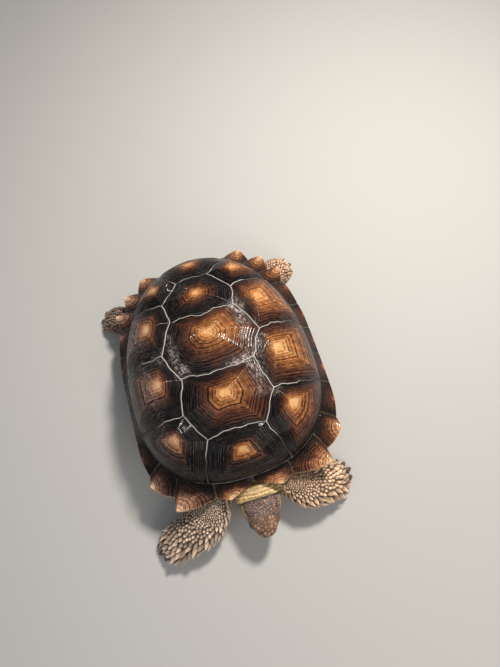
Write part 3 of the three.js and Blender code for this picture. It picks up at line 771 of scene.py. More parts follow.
def seam_points(start, end, steps, wave=seam_wave):
    """Points of a seam from one corner to the next, and of the rim between two rim corners."""
    if start[1] is not None and end[1] is not None:
        turn = (end[1] - start[1] + 180) % 360 - 180
        return np.array([rim_place(start[1] + turn * k / steps) for k in range(steps)])
    part = np.arange(steps)[:, None] / steps
    return wave(start[0] * (1 - part) + end[0] * part)


def corners_of(names):
    """The corners of an outline: the place (u, v) of each, and its direction if it is on the rim."""
    return [(rim_place(RIM_ENDS[name]), RIM_ENDS[name]) if name in RIM_ENDS
            else (lay_out(*CORNERS[name]), None) for name in names.split()]


def mirrored(corners):
    """The same corners on the other side, in the other order."""
    return [(flat * [-1, 1], None) if rim is None else (rim_place(180 - rim), 180 - rim)
            for flat, rim in reversed(corners)]


# ---------------------------------------------------------------- scutes

SCUTE_ROWS = 104        # from the middle of a scute to its seam
UNDER_ROWS = (1.0, 1.0, 0.8, 0.6, 0.4, 0.2, 0.0)     # down its edge and back under it to the middle
SPOKE_STEP = 3.0        # mm between spokes along the seam
FAR = 1e3
HATCHLING = 2.6         # the hatchling's scute is this many years' rings wide


def growth(part, rings, seed):
    """Counts the years' growth from the middle (0) to the seam (1): rings of uneven width."""
    widths = np.random.default_rng(seed).uniform(0.5, 1.5, rings)
    widths[0] = HATCHLING
    edges = np.concatenate([[0], np.cumsum(widths) / widths.sum()])
    return np.interp(part, edges, np.arange(rings + 1))


def ring_relief(count, part):
    """Height of the growth rings: rounded steps with a groove between them."""
    wave = np.abs(np.sin(math.pi * count)) ** 0.5
    return settings().horn.groove / MM * (wave - 1) * smooth(part, 0.05, 0.3)


def scute(node, corners, hub, rise, rings, seed, amber, lean):
    """One big scute, its rings copies of its outline drawn in towards the place it grew from.

    amber is how far from the middle its pale horn reaches, and lean the way that it spreads.
    """
    border, straight, to_corner = [], [], []
    for start, end in zip(corners, corners[1:] + corners[:1]):
        long = np.linalg.norm(dome_point(end[0], 0) - dome_point(start[0], 0))
        steps = max(5, round(long / SPOKE_STEP))
        border.append(seam_points(start, end, steps))
        straight.append(seam_points(start, end, steps, wave=lambda flat: flat))
        run = np.arange(steps) * long / steps
        # A corner on the midline is a bend of the seam and has no ridge.
        bends = [FAR * (at[1] is None and abs(at[0][0]) < 1e-9) for at in (start, end)]
        to_corner.append(np.minimum(run + bends[0], long - run + bends[1]))
    border, straight, to_corner = (np.concatenate(rows) for rows in (border, straight, to_corner))
    spokes = len(border)
    centre = lay_out(*hub)

    parts = np.array([*np.linspace(0, 1, SCUTE_ROWS + 1), *UNDER_ROWS])
    rows = len(parts) - 1
    piece, square = new_grid(f"horn_{node}", spokes, rows)
    row = np.rint(square[:, 1] * rows).astype(int)
    spoke = np.rint(square[:, 0] * spokes).astype(int) % spokes
    part = parts[row]
    turn = 2 * math.pi * spoke / spokes
    outline = lerp(straight[spoke], border[spoke], (part ** 3)[:, None]) - centre
    away = np.linalg.norm(outline, axis=1)
    even = (away.mean() / away) ** (0.3 * (1 - smooth(part, 0.0, 0.85)))
    flat = centre + outline * (part * even)[:, None]

    wander = 0.011 * part * np.sin(3 * turn + seed) + 0.004 * np.sin(11 * turn + 2 * seed)
    count = growth(np.clip(part + wander * (1 - part), 0, 1), rings, seed)
    crest = bump(to_corner[spoke] * part, 3.5 + 2.5 * part) * smooth(part, 0.08, 0.3) * (1 - 0.6 * part)
    form = rise * (1 - part ** 2.2) ** 1.1 + crest * settings().horn.crest / MM
    lip = -1.5 * smooth(part, 0.955, 1.0)
    out = form + ring_relief(count, part) + lip
    out = np.where(row == SCUTE_ROWS + 1, -4.0, out)
    out = np.where(row > SCUTE_ROWS + 1, -(PLATE - 1), out)
    points = dome_point(flat, out)
    inward = direction(dome_point(np.broadcast_to(centre, flat.shape), out) - points)
    points += inward * (part * PLATE_GAP)[:, None]

    away = direction(points[:, :2] - hub)
    reach = amber * (1 + away @ lean)
    # Flaked places, and on the animal's right flank a painted grey sheen in the same marks.
    wear_and_sheen = wear_at(points)
    on_top = row <= SCUTE_ROWS
    flaked = 1.3 * wrinkle(points, 0.4) * wear_and_sheen * on_top - 0.6 * wear_and_sheen * on_top
    points += (points - dome_point(flat, out - 1)) * flaked[:, None]
    keep(piece, growth=(count, np.cos(turn), np.sin(turn)), horn=(part, part / reach, wear_and_sheen), crest=crest)
    set_points(piece, points)
    edit(piece, weld, face_out)
    finish(piece, wet_carapace_keratin, [node])


# Places where the horn has flaked, and on the animal's right flank (x below -90) places of painted grey sheen: x,
# y, radius along x and y, and how strong it is.
WEAR_AND_SHEEN = (
    (66, 84, 9, 30, 1.0), (58, 104, 14, 8, 0.9), (56, 2, 22, 9, 1.0), (76, 26, 10, 10, 0.8),
    (64, -24, 12, 24, 0.85), (-60, 12, 11, 10, 1.0), (-68, 50, 7, 32, 0.8), (34, -2, 20, 5, 0.6),
    (60, -60, 14, 8, 0.5), (84, -66, 8, 8, 0.6), (-130, 8, 18, 44, 0.4), (-132, 108, 16, 38, 0.4),
    (-126, -84, 14, 30, 0.3), (-96, 50, 12, 14, 0.35),
)


# How strongly each point is marked by the flaked places and the painted sheen of the table above.
def wear_at(points):
    total = np.zeros(len(points))
    for x, y, wide, long, much in WEAR_AND_SHEEN:
        total += much * np.exp(-((points[:, 0] - x) / wide) ** 2 - ((points[:, 1] - y) / long) ** 2)
    return np.clip(total, 0, 1)


# ---------------------------------------------------------------- marginal scutes

MARGINAL_COLUMNS, MARGINAL_ROWS = 44, 40
EDGE_THICK = 3.4        # thickness at the free edge


def edge_height(degrees):
    sine = np.sin(np.radians(degrees))
    end = np.where(sine < 0, EDGE_Z["front"], EDGE_Z["rear"])
    return lerp(EDGE_Z["side"], end, smooth(np.abs(sine), 0.1, 0.95))


def flange_point(rim, edge, inset, across):
    """Points between the rim (across 0) and the free edge (across 1), before any tip."""
    inner_x, inner_y = RIM.point(rim)
    outer_x, outer_y = EDGE.point(edge, -inset)
    rim_z = rim_height(np.sin(np.radians(rim))) - 0.9
    return np.stack([
        lerp(inner_x, outer_x, across),
        lerp(inner_y, outer_y, across),
        lerp(rim_z, edge_height(edge), across ** FLARE),
    ], axis=1)


def flange_normal(rim, edge, inset, across):
    step = 0.02
    start = np.minimum(across, 1 - step)
    base = flange_point(rim, edge, inset, start)
    outwards = flange_point(rim, edge, inset, start + step) - base
    around = flange_point(rim + 1, edge + 1, inset, start) - base
    return direction(np.cross(outwards, around))


def rounded(distance, radius):
    """How far a rounded edge drops, at a distance from it."""
    part = np.clip(distance / radius, 0, 1)
    return radius * (1 - np.sqrt(1 - (1 - part) ** 2))


def marginal(node, rims, edges, insets, tip, side, seed, amber):
    """One marginal: its growth lines run round the place behind its tip."""
    place, reach, lift = tip
    piece, square = new_grid(f"horn_{node}", MARGINAL_COLUMNS, MARGINAL_ROWS, slab=True)
    turn, across, below = square[:, 0] * 2 - 1, square[:, 1], square[:, 2] < -0.5
    even = np.where(turn < 0, place * (1 + turn), place + (1 - place) * turn)
    corner_a, corner_b = (np.array(EDGE.point(angle)) for angle in edges)
    width = float(np.linalg.norm(corner_b - corner_a))
    trim = PLATE_GAP / width
    along = trim + (1 - 2 * trim) * even
    rim, edge, inset = (lerp(*pair, along) for pair in (rims, edges, insets))
    peak = (1 - np.abs(turn) ** 1.2) * across ** 1.6
    points = flange_point(rim, edge, inset, across)
    normal = flange_normal(rim, edge, inset, across)
    ahead = direction(np.stack(EDGE.point(edge, 1), axis=1) - np.stack(EDGE.point(edge), axis=1))
    points[:, :2] += ahead * (reach * peak)[:, None]
    points[:, 2] += lift * peak

    # Rings run round the tip of a pointed marginal, and are squarer on a straight one.
    hub, power = (1.0, 2.4) if reach > POINTED else (0.9, 5.0)
    down = np.where(across < hub, (hub - across) / hub, (across - hub) / (1.6 - hub))
    part = np.clip((np.abs(turn) ** power + down ** power) ** (1 / power), 0, 1.2) / 1.2
    fan = np.arctan2(down + 0.05, turn)
    wander = 0.04 * np.sin(9 * even + seed) * part
    rings = max(9, round(width / 3.2))
    count = growth(np.clip(part + wander, 0, 1), rings, seed)
    to_seam = np.minimum(even, 1 - even) * width
    to_rim = np.linalg.norm(points - flange_point(rim, edge, inset, 0 * across), axis=1)
    to_edge = (1 - across) * (np.max(to_rim) + 1e-6)
    drop = rounded(to_seam, 1.0) + rounded(to_edge, 1.6) + rounded(to_rim, 1.2)
    top = 0.5 * ring_relief(count, part) - drop * 0.8
    top += 0.9 * bump(turn, 0.22) * across * smooth(reach + 4.0, 0, 20)
    under = -lerp(PLATE, EDGE_THICK, across) + rounded(to_edge, 1.6) * 0.9
    points += normal * np.where(below, under, top)[:, None]
    points[:, 0] *= side
    worn = np.maximum(smooth(across, 0.945, 0.99) * smooth(reach + 2.0, 0, 8), 0.4 * bump(to_seam, 0.9))
    tone = part ** 1.2 / amber + (0.25 * (1 - across) ** 2 if reach > POINTED else 0.7)
    keep(piece, growth=(count, 1.5 * np.cos(fan) + seed, 1.5 * np.sin(fan)),
         horn=(0.12 + 0.5 * part, tone, worn), crest=0 * part)
    set_points(piece, points)
    edit(piece, face_out)
    finish(piece, wet_marginal_keratin, [node])


# ---------------------------------------------------------------- seams

def seam_courses():
    """The courses of all seams of the dome, as points in (u, v), and the rim's as the last."""
    left = [corners_of(names) for names in SEAM_COURSES]
    courses = left + [mirrored(corners) for corners in left]
    for name in ("12", "23", "34", "45"):
        half = corners_of(f"v{name} m{name}")
        courses.append(half + mirrored(half[:1]))
    lines = []
    for corners in courses:
        course = []
        for (start, _), (end, _) in zip(corners, corners[1:]):
            long = np.linalg.norm(dome_point(end, 0) - dome_point(start, 0))
            course.append(seam_points((start, None), (end, None), max(4, round(long / 2.2))))
        lines.append(np.concatenate([*course, seam_wave(corners[-1][0][None])]))
    lines.append(np.array([rim_place(a) for a in np.arange(-180, 181, 0.75)]) * 0.9985)
    return lines


def build_seams():
    """Strips of new pale horn that fill the grooves between the big scutes."""
    data = bpy.data.curves.new("seams", "CURVE")
    data.dimensions = "3D"
    data.bevel_depth = settings().horn.seam
    data.bevel_resolution = 1
    data.use_fill_caps = True
    *seams, rim = seam_courses()
    for flat, out in [(seam, -1.25) for seam in seams] + [(rim, -0.3)]:
        points = dome_point(flat, out)
        spline = data.splines.new("POLY")
        spline.points.add(len(points) - 1)
        spline.points.foreach_set("co", np.column_stack([to_frame(points), np.ones(len(points))]).ravel())
        spline.points.foreach_set("radius", 0.95 + 0.3 * wrinkle(points, 0.06) + 0.1 * wrinkle(points, 0.5))
    curve = bpy.data.objects.new("seams", data)
    bpy.context.scene.collection.objects.link(curve)
    activate(curve)
    bpy.ops.object.convert(target="MESH")
    piece = new_piece("new_horn_seams")
    _, y, z = get_points(piece).T
    on_top = smooth(z, 120, 190) * 1.1 - 0.35
    in_front = 0.28 * smooth(-y, 110, 150) * smooth(-z, -125, -105)
    keep(piece, dry=np.maximum(on_top, in_front))
    finish(piece, new_seam_keratin)


# ---------------------------------------------------------------- plastron

def plastron_plate(name, index):
    """A pair of plates of the underside, parted by a groove on the midline."""
    bridge = name in ("pectoral", "abdominal")
    piece, square = new_grid(f"horn_plastron_{name}", 110 if bridge else 64, 34 if name == "abdominal" else 20,
                             slab=True)
    x_part, along, inner = square[:, 0] * 2 - 1, square[:, 1], square[:, 2] > -0.5
    across = np.abs(x_part)
    sweep = across if bridge else across ** 1.5
    front = PLASTRON_SEAMS[index] + SEAM_SWEEP[index] * sweep + PLATE_GAP
    rear = PLASTRON_SEAMS[index + 1] + SEAM_SWEEP[index + 1] * sweep - PLATE_GAP
    y = lerp(front, rear, along)
    if bridge:
        half = BRIDGE_HALF - BRIDGE_NOTCH * np.abs((y - BRIDGE_Y) / BRIDGE_REACH) ** 6
    else:
        half = lerp(LOBE_HALF[index], LOBE_HALF[index + 1], along) + np.sin(math.pi * along) * 5
    x = x_part * half
    climb = BRIDGE_RISE * (np.maximum(0, np.abs(x) - FLAT_HALF) / (BRIDGE_HALF - FLAT_HALF)) ** 1.6
    part = np.clip((np.abs(across - 0.55) / 0.5) ** 3 + (np.abs(along - 0.45) / 0.55) ** 3, 0, 1) ** (1 / 3)
    count = growth(part, 10, 40 + index)
    to_seam = np.minimum(along, 1 - along) * (rear - front)
    lip = rounded(half - np.abs(x), 3.0)
    groove = rounded(to_seam, 1.5) + lip + 0.9 * bump(x, 1.2)
    tuck = 5.0 * smooth(np.abs(x), BRIDGE_HALF - 16, BRIDGE_HALF - 4)     # the bridge ends behind the marginals
    z = np.where(inner, climb + PLATE + tuck - 0.6 * lip, climb + groove - 0.6 * ring_relief(count, part))
    keep(piece, growth=(count, across * 2, along * 2), horn=(part, part / 0.7, 0 * part))
    set_points(piece, np.stack([x, y, z], axis=1))
    edit(piece, face_out)
    finish(piece, plastron_keratin, [f"plastron_{name}"])


# ---------------------------------------------------------------- flesh

def catmull(points, place):
    """A point of the centripetal Catmull-Rom curve through `points`."""
    last = len(points) - 1
    start = min(int(place * last), last - 1)
    part = place * last - start
    p1, p2 = points[start], points[start + 1]
    p0 = points[start - 1] if start > 0 else 2 * p1 - p2
    p3 = points[start + 2] if start + 2 <= last else 2 * p2 - p1
    d0, d1, d2 = (float(((b - a) ** 2).sum()) ** 0.25 for a, b in ((p0, p1), (p1, p2), (p2, p3)))
    d1 = d1 if d1 > 1e-4 else 1.0
    d0, d2 = (d if d > 1e-4 else d1 for d in (d0, d2))
    out = ((p1 - p0) / d0 - (p2 - p0) / (d0 + d1) + (p2 - p1) / d1) * d1
    into = ((p2 - p1) / d1 - (p3 - p1) / (d1 + d2) + (p3 - p2) / d2) * d1
    bend, turn = -3 * p1 + 3 * p2 - 2 * out - into, 2 * p1 - 2 * p2 + out + into
    return p1 + part * (out + part * (bend + part * turn))


def outline_point(angle, half, thick, power):
    """How far across and up a section's outline is at an angle."""
    return (signed_power(np.cos(angle), 2 / power) * half, signed_power(np.sin(angle), 2 / power) * thick)


class Tube:
    """A limb, neck or tail: a path with a half width and a half thickness, rounded off at its end."""

    SAMPLES = 160

    def __init__(self, path, girth, blunt=0.0):
        self.at = np.linspace(0, 1, self.SAMPLES)
        self.centre, self.size = (
            np.array([catmull(np.array(table, float), s) for s in self.at]) for table in (path, girth))
        along = direction(np.gradient(self.centre, axis=0))
        side = np.cross(along, [0, 0, 1.0])
        for k in range(1, self.SAMPLES):
            if np.linalg.norm(side[k]) < 0.15:       # the path runs straight down
                side[k] = side[k - 1]
        self.side = direction(side)
        self.up = np.cross(self.side, along)
        if blunt:
            into = np.clip((self.at - 1 + blunt) / blunt, 0, 1)
            self.size *= np.sqrt(1 - (0.92 * into) ** 2)[:, None]

    def pick(self, table, s):
        return np.stack([np.interp(s, self.at, column) for column in table.T], axis=1)

    def point(self, s, angle, grow=0.0):
        """The surface at s along the path, `angle` round it from its side towards its top."""
        across, high = outline_point(angle, *(self.pick(self.size, s) + grow).T, TUBE_POWER)
        points = self.pick(self.centre, s)
        return points + self.pick(self.side, s) * across[:, None] + self.pick(self.up, s) * high[:, None]


TUBES = {name: Tube(*limb, 0.07 if name.startswith("fore") else 0) for name, limb in LIMBS.items()}
NECK_TUBE, TAIL_TUBE = Tube(*NECK), Tube(*TAIL, 0.05)


def head_sizes(back):
    """Half width, height over and depth under the head's axis, smooth through HEAD_SHAPE."""
    shape = np.array(HEAD_SHAPE, float)
    slopes = np.gradient(shape[:, 1:], shape[:, 0], axis=0)
    back = np.clip(back, 0, shape[-1, 0])
    k = np.clip(np.searchsorted(shape[:, 0], back, side="right") - 1, 0, len(shape) - 2)
    span = shape[k + 1, 0] - shape[k, 0]
    t = ((back - shape[k, 0]) / span)[:, None]
    a, b = shape[k, 1:], shape[k + 1, 1:]
    m0, m1 = slopes[k] * span[:, None], slopes[k + 1] * span[:, None]
    return (a * (2 * t ** 3 - 3 * t ** 2 + 1) + m0 * (t ** 3 - 2 * t ** 2 + t)
            + b * (3 * t ** 2 - 2 * t ** 3) + m1 * (t ** 3 - t ** 2)).T


def head_axis(back):
    ahead = HEAD_LONG - back
    return np.stack([-1.5 - HEAD_TURN * ahead, SNOUT_Y + back, HEAD_Z - 0.06 * ahead], axis=1)


def head_point(back, angle, grow=0.0):
    half, top, bottom = head_sizes(back) + grow
    across, high = outline_point(angle, half, np.where(np.sin(angle) > 0, top, bottom), HEAD_POWER)
    return head_axis(back) + np.stack([across, 0 * across, high], axis=1)


def head_place(points):
    """How far a point is back from the snout, beside and above the head's axis, and its share of
    the head's width and height there."""
    back = points[:, 1] - SNOUT_Y
    axis = head_axis(back)
    half, top, bottom = head_sizes(back)
    beside, above = points[:, 0] - axis[:, 0], points[:, 2] - axis[:, 2]
    return back, beside, above, beside / half, above / np.where(above > 0, top, bottom)


def eye_centre(side):
    back = np.array([EYE_BACK])
    half = head_sizes(back)[0][0]
    return head_axis(back)[0] + [side * (half - EYE_SINK), 0, EYE_RISE]


def eye_distance(points, side):
    """How far points lie from an eye along the head and over it, in the oval shape of its lids."""
    eye = eye_centre(side)
    return (points[:, 1] - eye[1]) / 1.18, (points[:, 2] - eye[2]) / 0.92


def mouth_height(back):
    """Height of the mouth's line over the head's axis, from the lip to the corner."""
    part = np.clip(back / MOUTH_BACK, 0, 1)
    return lerp(MOUTH_LIP, MOUTH_DROP, part) + 1.2 * np.sin(part * math.pi)


def fold_start(beside):
    return np.where(beside > 0, FOLD_START["left"], FOLD_START["right"])


# Marks of one side of the snout: place beside, back and above, height and width.
NOSTRIL, SNOUT_KNOB = (3.8, 1.5, 2.6, -2.6, 1.6), (4.6, 4.0, 9.0, 1.6, 3.4)


def head_relief(points):
    """How far the skin of the head stands out (mm): brows, nostrils, knobs, ears, mouth and folds."""
    back, beside, above, wide, high = head_place(points)
    turn = np.arctan2(above, np.abs(beside))
    relief = 0.35 * wrinkle(points, 0.14, 4.0) * smooth(high, 0.1, 0.5)
    ear = np.hypot(back - 54.0, above + 3.5)
    for side in SIDES.values():
        long, tall = eye_distance(points, side)
        here = smooth(side * wide, 0.3, 0.6)
        relief -= here * 2.4 * bump(np.hypot(long, tall), 4.6)
        relief += here * 1.5 * bump(tall - 8.0, 3.2) * bump(long, 9.0)
        for across, behind, over, rise, width in (NOSTRIL, SNOUT_KNOB):
            away = np.stack([beside - side * across, back - behind, above - over], axis=1)
            relief += rise * bump(np.linalg.norm(away, axis=1), width)
        relief += here * (0.7 * bump(ear - 7.0, 1.8) - 1.0 * bump(ear, 5.0))
    relief -= 1.5 * bump(back - GROOVE_BACK, 1.6) * smooth(high, 0.2, 0.6)
    relief += 1.3 * bump(back - 22, 9) * bump(wide, 0.5) * smooth(high, 0.2, 0.8)
    mouth = above - mouth_height(back)
    lips = smooth(MOUTH_BACK + 2 - back, 0, 5)
    relief -= lips * 1.5 * bump(mouth, 0.9)
    relief += lips * 0.5 * bump(mouth - 2.2, 1.4) - lips * 0.6 * smooth(-mouth, 0.2, 1.5) * smooth(mouth, -12, -6)
    # The loose skin of the neck runs forward along each side of the head, further on the left.
    fold, start = turn - 0.46, fold_start(beside)
    relief -= 1.1 * bump(fold, 0.07) * smooth(back, start, start + 10)
    relief += np.where(beside > 0, 3.4, 1.7) * bump(fold + 0.30, 0.2) * smooth(back, start + 4, start + 26)
    return relief


def hood_lines(points):
    """The cross wrinkles of the hood, from 0 in a crease to 1 on a fold."""
    x, y, _ = points.T
    course = y - 0.0035 * x ** 2 + 3.0 * wrinkle(points, 0.045) + 1.2 * wrinkle(points, 0.14, 3.0)
    return np.abs(np.sin(course / 6.4 * math.pi)) ** 0.7


def neck_relief(points):
    """Cross wrinkles of the loose skin of the neck, and its rolled front edge."""
    x, y, _ = points.T
    on_neck = smooth(y, COLLAR_Y - 0.5, COLLAR_Y + 1.5) * smooth(-y, 150, 175) * smooth(60 - np.abs(x), 0, 10)
    roll = 1.7 * bump(y - COLLAR_Y - 3.2, 3.0)
    return on_neck * (1.5 * (hood_lines(points) - 0.6) * (0.7 + wrinkle(points, 0.12, 9.0)) + roll)


def leg_relief(points):
    """Folds where the legs leave the shell, and lumps of muscle and old skin."""
    return 0.9 * wrinkle(points, 0.06, 3.0) + 0.45 * wrinkle(points, 0.2, 5.0)


def loft(name, columns, rows, surface):
    """A closed tube over surface(s, angle), its ends drawn to their middles."""
    piece, square = new_grid(name, columns, rows + 2)
    row = np.rint(square[:, 1] * (rows + 2)).astype(int)
    points = surface(np.clip((row - 1) / rows, 0, 1), square[:, 0] * 2 * math.pi)
    for end in (0, rows + 2):
        ring = surface(np.full(12, float(end > 0)), np.arange(12) * math.pi / 6)
        points[row == end] = ring.mean(axis=0)
    set_points(piece, points)
    edit(piece, weld, face_out)
    return piece


TRUNK_SHARE = 0.45      # the share of the trunk's rows that are under the dome's rim


def trunk_surface(s, angle, depth):
    """The body inside the shell: the levels of TRUNK_LEVELS, then the dome under the plates."""
    across, along = np.cos(angle), np.sin(angle)
    radius = RIM.radius(across, along)
    levels = np.array(TRUNK_LEVELS, float)
    low = np.clip(s / TRUNK_SHARE, 0, 1) * (len(levels) - 1)
    height, half, front, rear = (np.interp(low, np.arange(len(levels)), column) for column in levels.T)
    body = np.stack([
        (half - depth) * across / radius,
        SHELL_Y + (np.where(along < 0, front, rear) - depth) * along / radius,
        height + depth * (s == 0),
    ], axis=1)
    part = np.clip((1 - s) / (1 - TRUNK_SHARE), 0, 1)[:, None]
    flat = np.stack([across, along], axis=1) / radius[:, None] * part
    dome = dome_point(flat, -(PLATE + BODY_GAP + depth))
    return np.where((s > TRUNK_SHARE)[:, None], dome, body)


def lift_to(piece, floor):
    """Flattens what lies lower than a height over the floor."""
    points = get_points(piece)
    points[:, 2] = np.maximum(points[:, 2], floor)
    set_points(piece, points)


def hidden_in_shell(x, y, z):
    off = np.abs(y - 12)
    return (off < 134) | ((z > 100) & (y > -150)) | ((z > 76) & (y > 60)) | ((z > 62) & (off < 146))


def on_head(x, y, z):
    return (y < COLLAR_Y + 6) & (np.abs(x) < HEAD_HALF + 2)


def select_faces(piece, chosen):
    """Selects the faces whose middles chosen(x, y, z) picks, in the tortoise's frame."""
    bpy.ops.mesh.select_all(action="DESELECT")
    bpy.ops.object.mode_set(mode="OBJECT")
    middles = np.empty(len(piece.data.polygons) * 3)
    piece.data.polygons.foreach_get("center", middles)
    picked = chosen(*((middles.reshape(-1, 3) - ORIGIN) / MM).T)
    piece.data.polygons.foreach_set("select", picked)
    bpy.ops.object.mode_set(mode="EDIT")
    bpy.ops.mesh.select_mode(type="FACE")


def build_skin():
    """One skin from the snout to the tail and the feet."""
    depth = settings().skin.depth / MM
    parts = [
        loft("skin", 72, 26, lambda s, a: trunk_surface(s, a, depth)),
        loft("neck", 64, 40, lambda s, a: NECK_TUBE.point(s, a, -depth)),
        loft("tail", 36, 30, lambda s, a: TAIL_TUBE.point(s, a, -depth * 0.8)),
    ]
    for tube in TUBES.values():
        parts.append(loft("limb", 56, 60, lambda s, a: tube.point(s, a, -depth)))
    parts.append(loft("head", 80, 70, lambda s, a: head_point(s * (HEAD_LONG + 24), a, -0.7)))
    skin = join(parts, "skin")
    lift_to(skin, 0.5)
    apply(skin, "REMESH", mode="VOXEL", voxel_size=settings().skin.grain)
    apply(skin, "SMOOTH", factor=0.5, iterations=5)
    edit(skin, lambda: select_faces(skin, hidden_in_shell), lambda: bpy.ops.mesh.decimate(ratio=0.05))
    edit(skin, lambda: select_faces(skin, on_head), lambda: bpy.ops.mesh.subdivide(number_cuts=1, smoothness=0))
    points, normals = get_points(skin), read(skin, "normal")
    beside = np.abs(points[:, 0])
    head = (points[:, 1] < COLLAR_Y + 1) & (beside < HEAD_HALF)
    out = np.where(head, 0.0, leg_relief(points))
    out[head] = head_relief(points[head])
    out += np.where(beside < 60, neck_relief(points), 0)
    points += normals * out[:, None]
    points[:, 2] = np.maximum(points[:, 2], 0.4)
    set_points(skin, points)
    colours = hide_colour(points, normals)
    # Painted shade in the gaps between the scales: the skin under them is darker, fully on the legs and the
    # shell's sides, half on the head.
    in_gaps = np.maximum(smooth(np.abs(points[:, 0]), 44, 60), 0.5 * smooth(COLLAR_Y - points[:, 1], 0, 2))
    colours[:, :3] *= lerp(1.0, 0.42, in_gaps)[:, None]
    keep(skin, hide=colours)
    nodes = ["trunk", "neck", "tail", "head", "lower_jaw"]
    nodes += [f"{end}_{part}_{side}" for end, side in (n.split("_") for n in LIMBS) for part in ("leg", "foot")]
    finish(skin, leathery_skin, nodes, angle=60)


def skin_tree():
    return BVHTree.FromObject(bpy.data.objects["skin"], bpy.context.evaluated_depsgraph_get())


# ---------------------------------------------------------------- colours of skin and scales

def hide_colour(points, normals):
    """The markings of skin and scales alike, by where they are on the body, with painted shade and painted light
    laid in.
    """
    skin = settings().skin
    leg, neck, crown, snout, cheek, beak = (
        np.array(c) for c in (skin.leg, skin.neck, skin.crown, skin.snout, skin.cheek, settings().scales.beak))
    x, y, _ = points.T
    colour = np.broadcast_to(leg, (len(points), 4)).copy()

    def paint(tone, share, by=(1, 1, 1)):
        """Lays a colour, multiplied by `by`, over the share of the skin that it covers."""
        nonlocal colour
        colour = colour + (tone * [*by, 1] - colour) * np.clip(share, 0, 1)[:, None]

    # Warm on the left forelegs' side; dark on the right hind leg and pale on the left one.
    hind = smooth(y, 120, 160)
    paint(leg, smooth(x, 20, 90), (1.30, 0.98, 0.80))
    paint(leg, hind * smooth(-x, -60, 60), (0.55, 0.46, 0.40))
    paint(leg, hind * smooth(x, -60, 60), (1.9, 1.6, 1.35))
    # Painted shade: darker below, and dark in the pocket under the shell.
    paint(leg, smooth(-normals[:, 2], 0.0, 0.8), (0.62, 0.58, 0.55))
    within = RIM.radius(x / 172, (y - SHELL_Y) / np.where(y < SHELL_Y, 190, 236))
    paint(leg, smooth(-within, -1.04, -0.90), (0.16, 0.14, 0.13))
    # The hood: brown, with straw laid on its folds where they face up: painted light on the folds and painted
    # shade in its creases.
    middle = smooth(54 - np.abs(x), 0, 8) * smooth(-y, 170, 190)
    lines = (0.10 + 1.02 * hood_lines(points) ** 1.9) * (1.0 + 0.5 * wrinkle(points, 0.10, 6.0))
    paint(neck, middle, (0.40, 0.38, 0.34))
    paint(neck, middle * smooth(normals[:, 2], -0.1, 0.6) * lines * smooth(-y, 192, 206))
    # The head: olive cheeks under a dark crown, with straw folds and a mottled snout.
    head = smooth(-y, -COLLAR_Y, -COLLAR_Y + 1.5) * (np.abs(x) < HEAD_HALF)
    back, beside, above, _, high = head_place(points)
    turn = np.arctan2(above, np.abs(beside))
    paint(cheek, head, (0.62, 0.58, 0.55))
    paint(neck, head * smooth(back, 30, 48) * bump(turn - 0.2, 0.3), (0.62, 0.60, 0.60))
    mottled = crown * (1 + 0.5 * wrinkle(points, 0.12, 7.0))[:, None]
    low, top = np.where(beside > 0, 0.22, 0.34), np.where(beside > 0, 0.36, 0.5)
    paint(mottled, head * smooth(turn, low, top), (1.06, 1.06, 1.06))
    patch = np.clip(0.45 + 2.4 * wrinkle(points, 0.085, 2.0), 0, 1) * 1.2
    paint(snout, head * smooth(-back, -40, -14) * smooth(turn, 0.15, 0.5) * patch)
    mouth = np.abs(above - mouth_height(back))
    paint(beak, head * smooth(-mouth, -6, -3) * smooth(-back, -40, -30), (0.7, 0.65, 0.6))
    # Painted shade in the creases at the collar, along the folds and across the snout.
    start = fold_start(beside)
    dark = np.maximum.reduce([
        0.85 * bump(y - COLLAR_Y + 1.2, 1.8) * (np.abs(x) < HEAD_HALF),
        0.4 * bump(turn - 0.46, 0.07) * smooth(back, start, start + 10) * head,
        0.6 * bump(back - GROOVE_BACK, 1.8) * smooth(high, 0.1, 0.5) * head,
    ])
    colour[:, :3] *= (1 - dark)[:, None]
    return colour


# ---------------------------------------------------------------- scales

RAYS = 8
# Shift towards the tip, height and spread of a scale's rings from its root to its point:
# first for a flat granule, then for a spur.
GRANULE = ((0.0, -0.9, 0.98), (0.0, 0.35, 0.90), (0.0, 0.92, 0.58), (0.05, 1.0, 0.0))
SPUR = ((-0.1, -0.8, 0.98), (0.15, 0.6, 0.92), (1.0, 1.2, 0.66), (2.7, 1.7, 0.0))
NEIGHBOURS = 12         # a scale's outline leaves room for this many of the nearest ones
PATCH = 0.0015          # half the width of a scale's place on the UV map


def scale_pattern():
    """The scale that all are copied from: an eight-sided disc, drawn up in three steps to a point."""
    deselect()
    bpy.ops.mesh.primitive_circle_add(vertices=RAYS, radius=1, fill_type="NGON")
    piece = bpy.context.object
    edit(piece, *[lambda: extrude(1)] * 3, lambda: bpy.ops.mesh.merge(type="CENTER"), face_out)
    points = read(piece)
    level = np.rint(points[:, 2]).astype(int)
    ray = np.rint(np.arctan2(points[:, 1], points[:, 0]) / (2 * math.pi) * RAYS).astype(int) % RAYS
    faces = [list(f.vertices) for f in piece.data.polygons]
    bpy.data.objects.remove(piece)
    return level, ray, faces


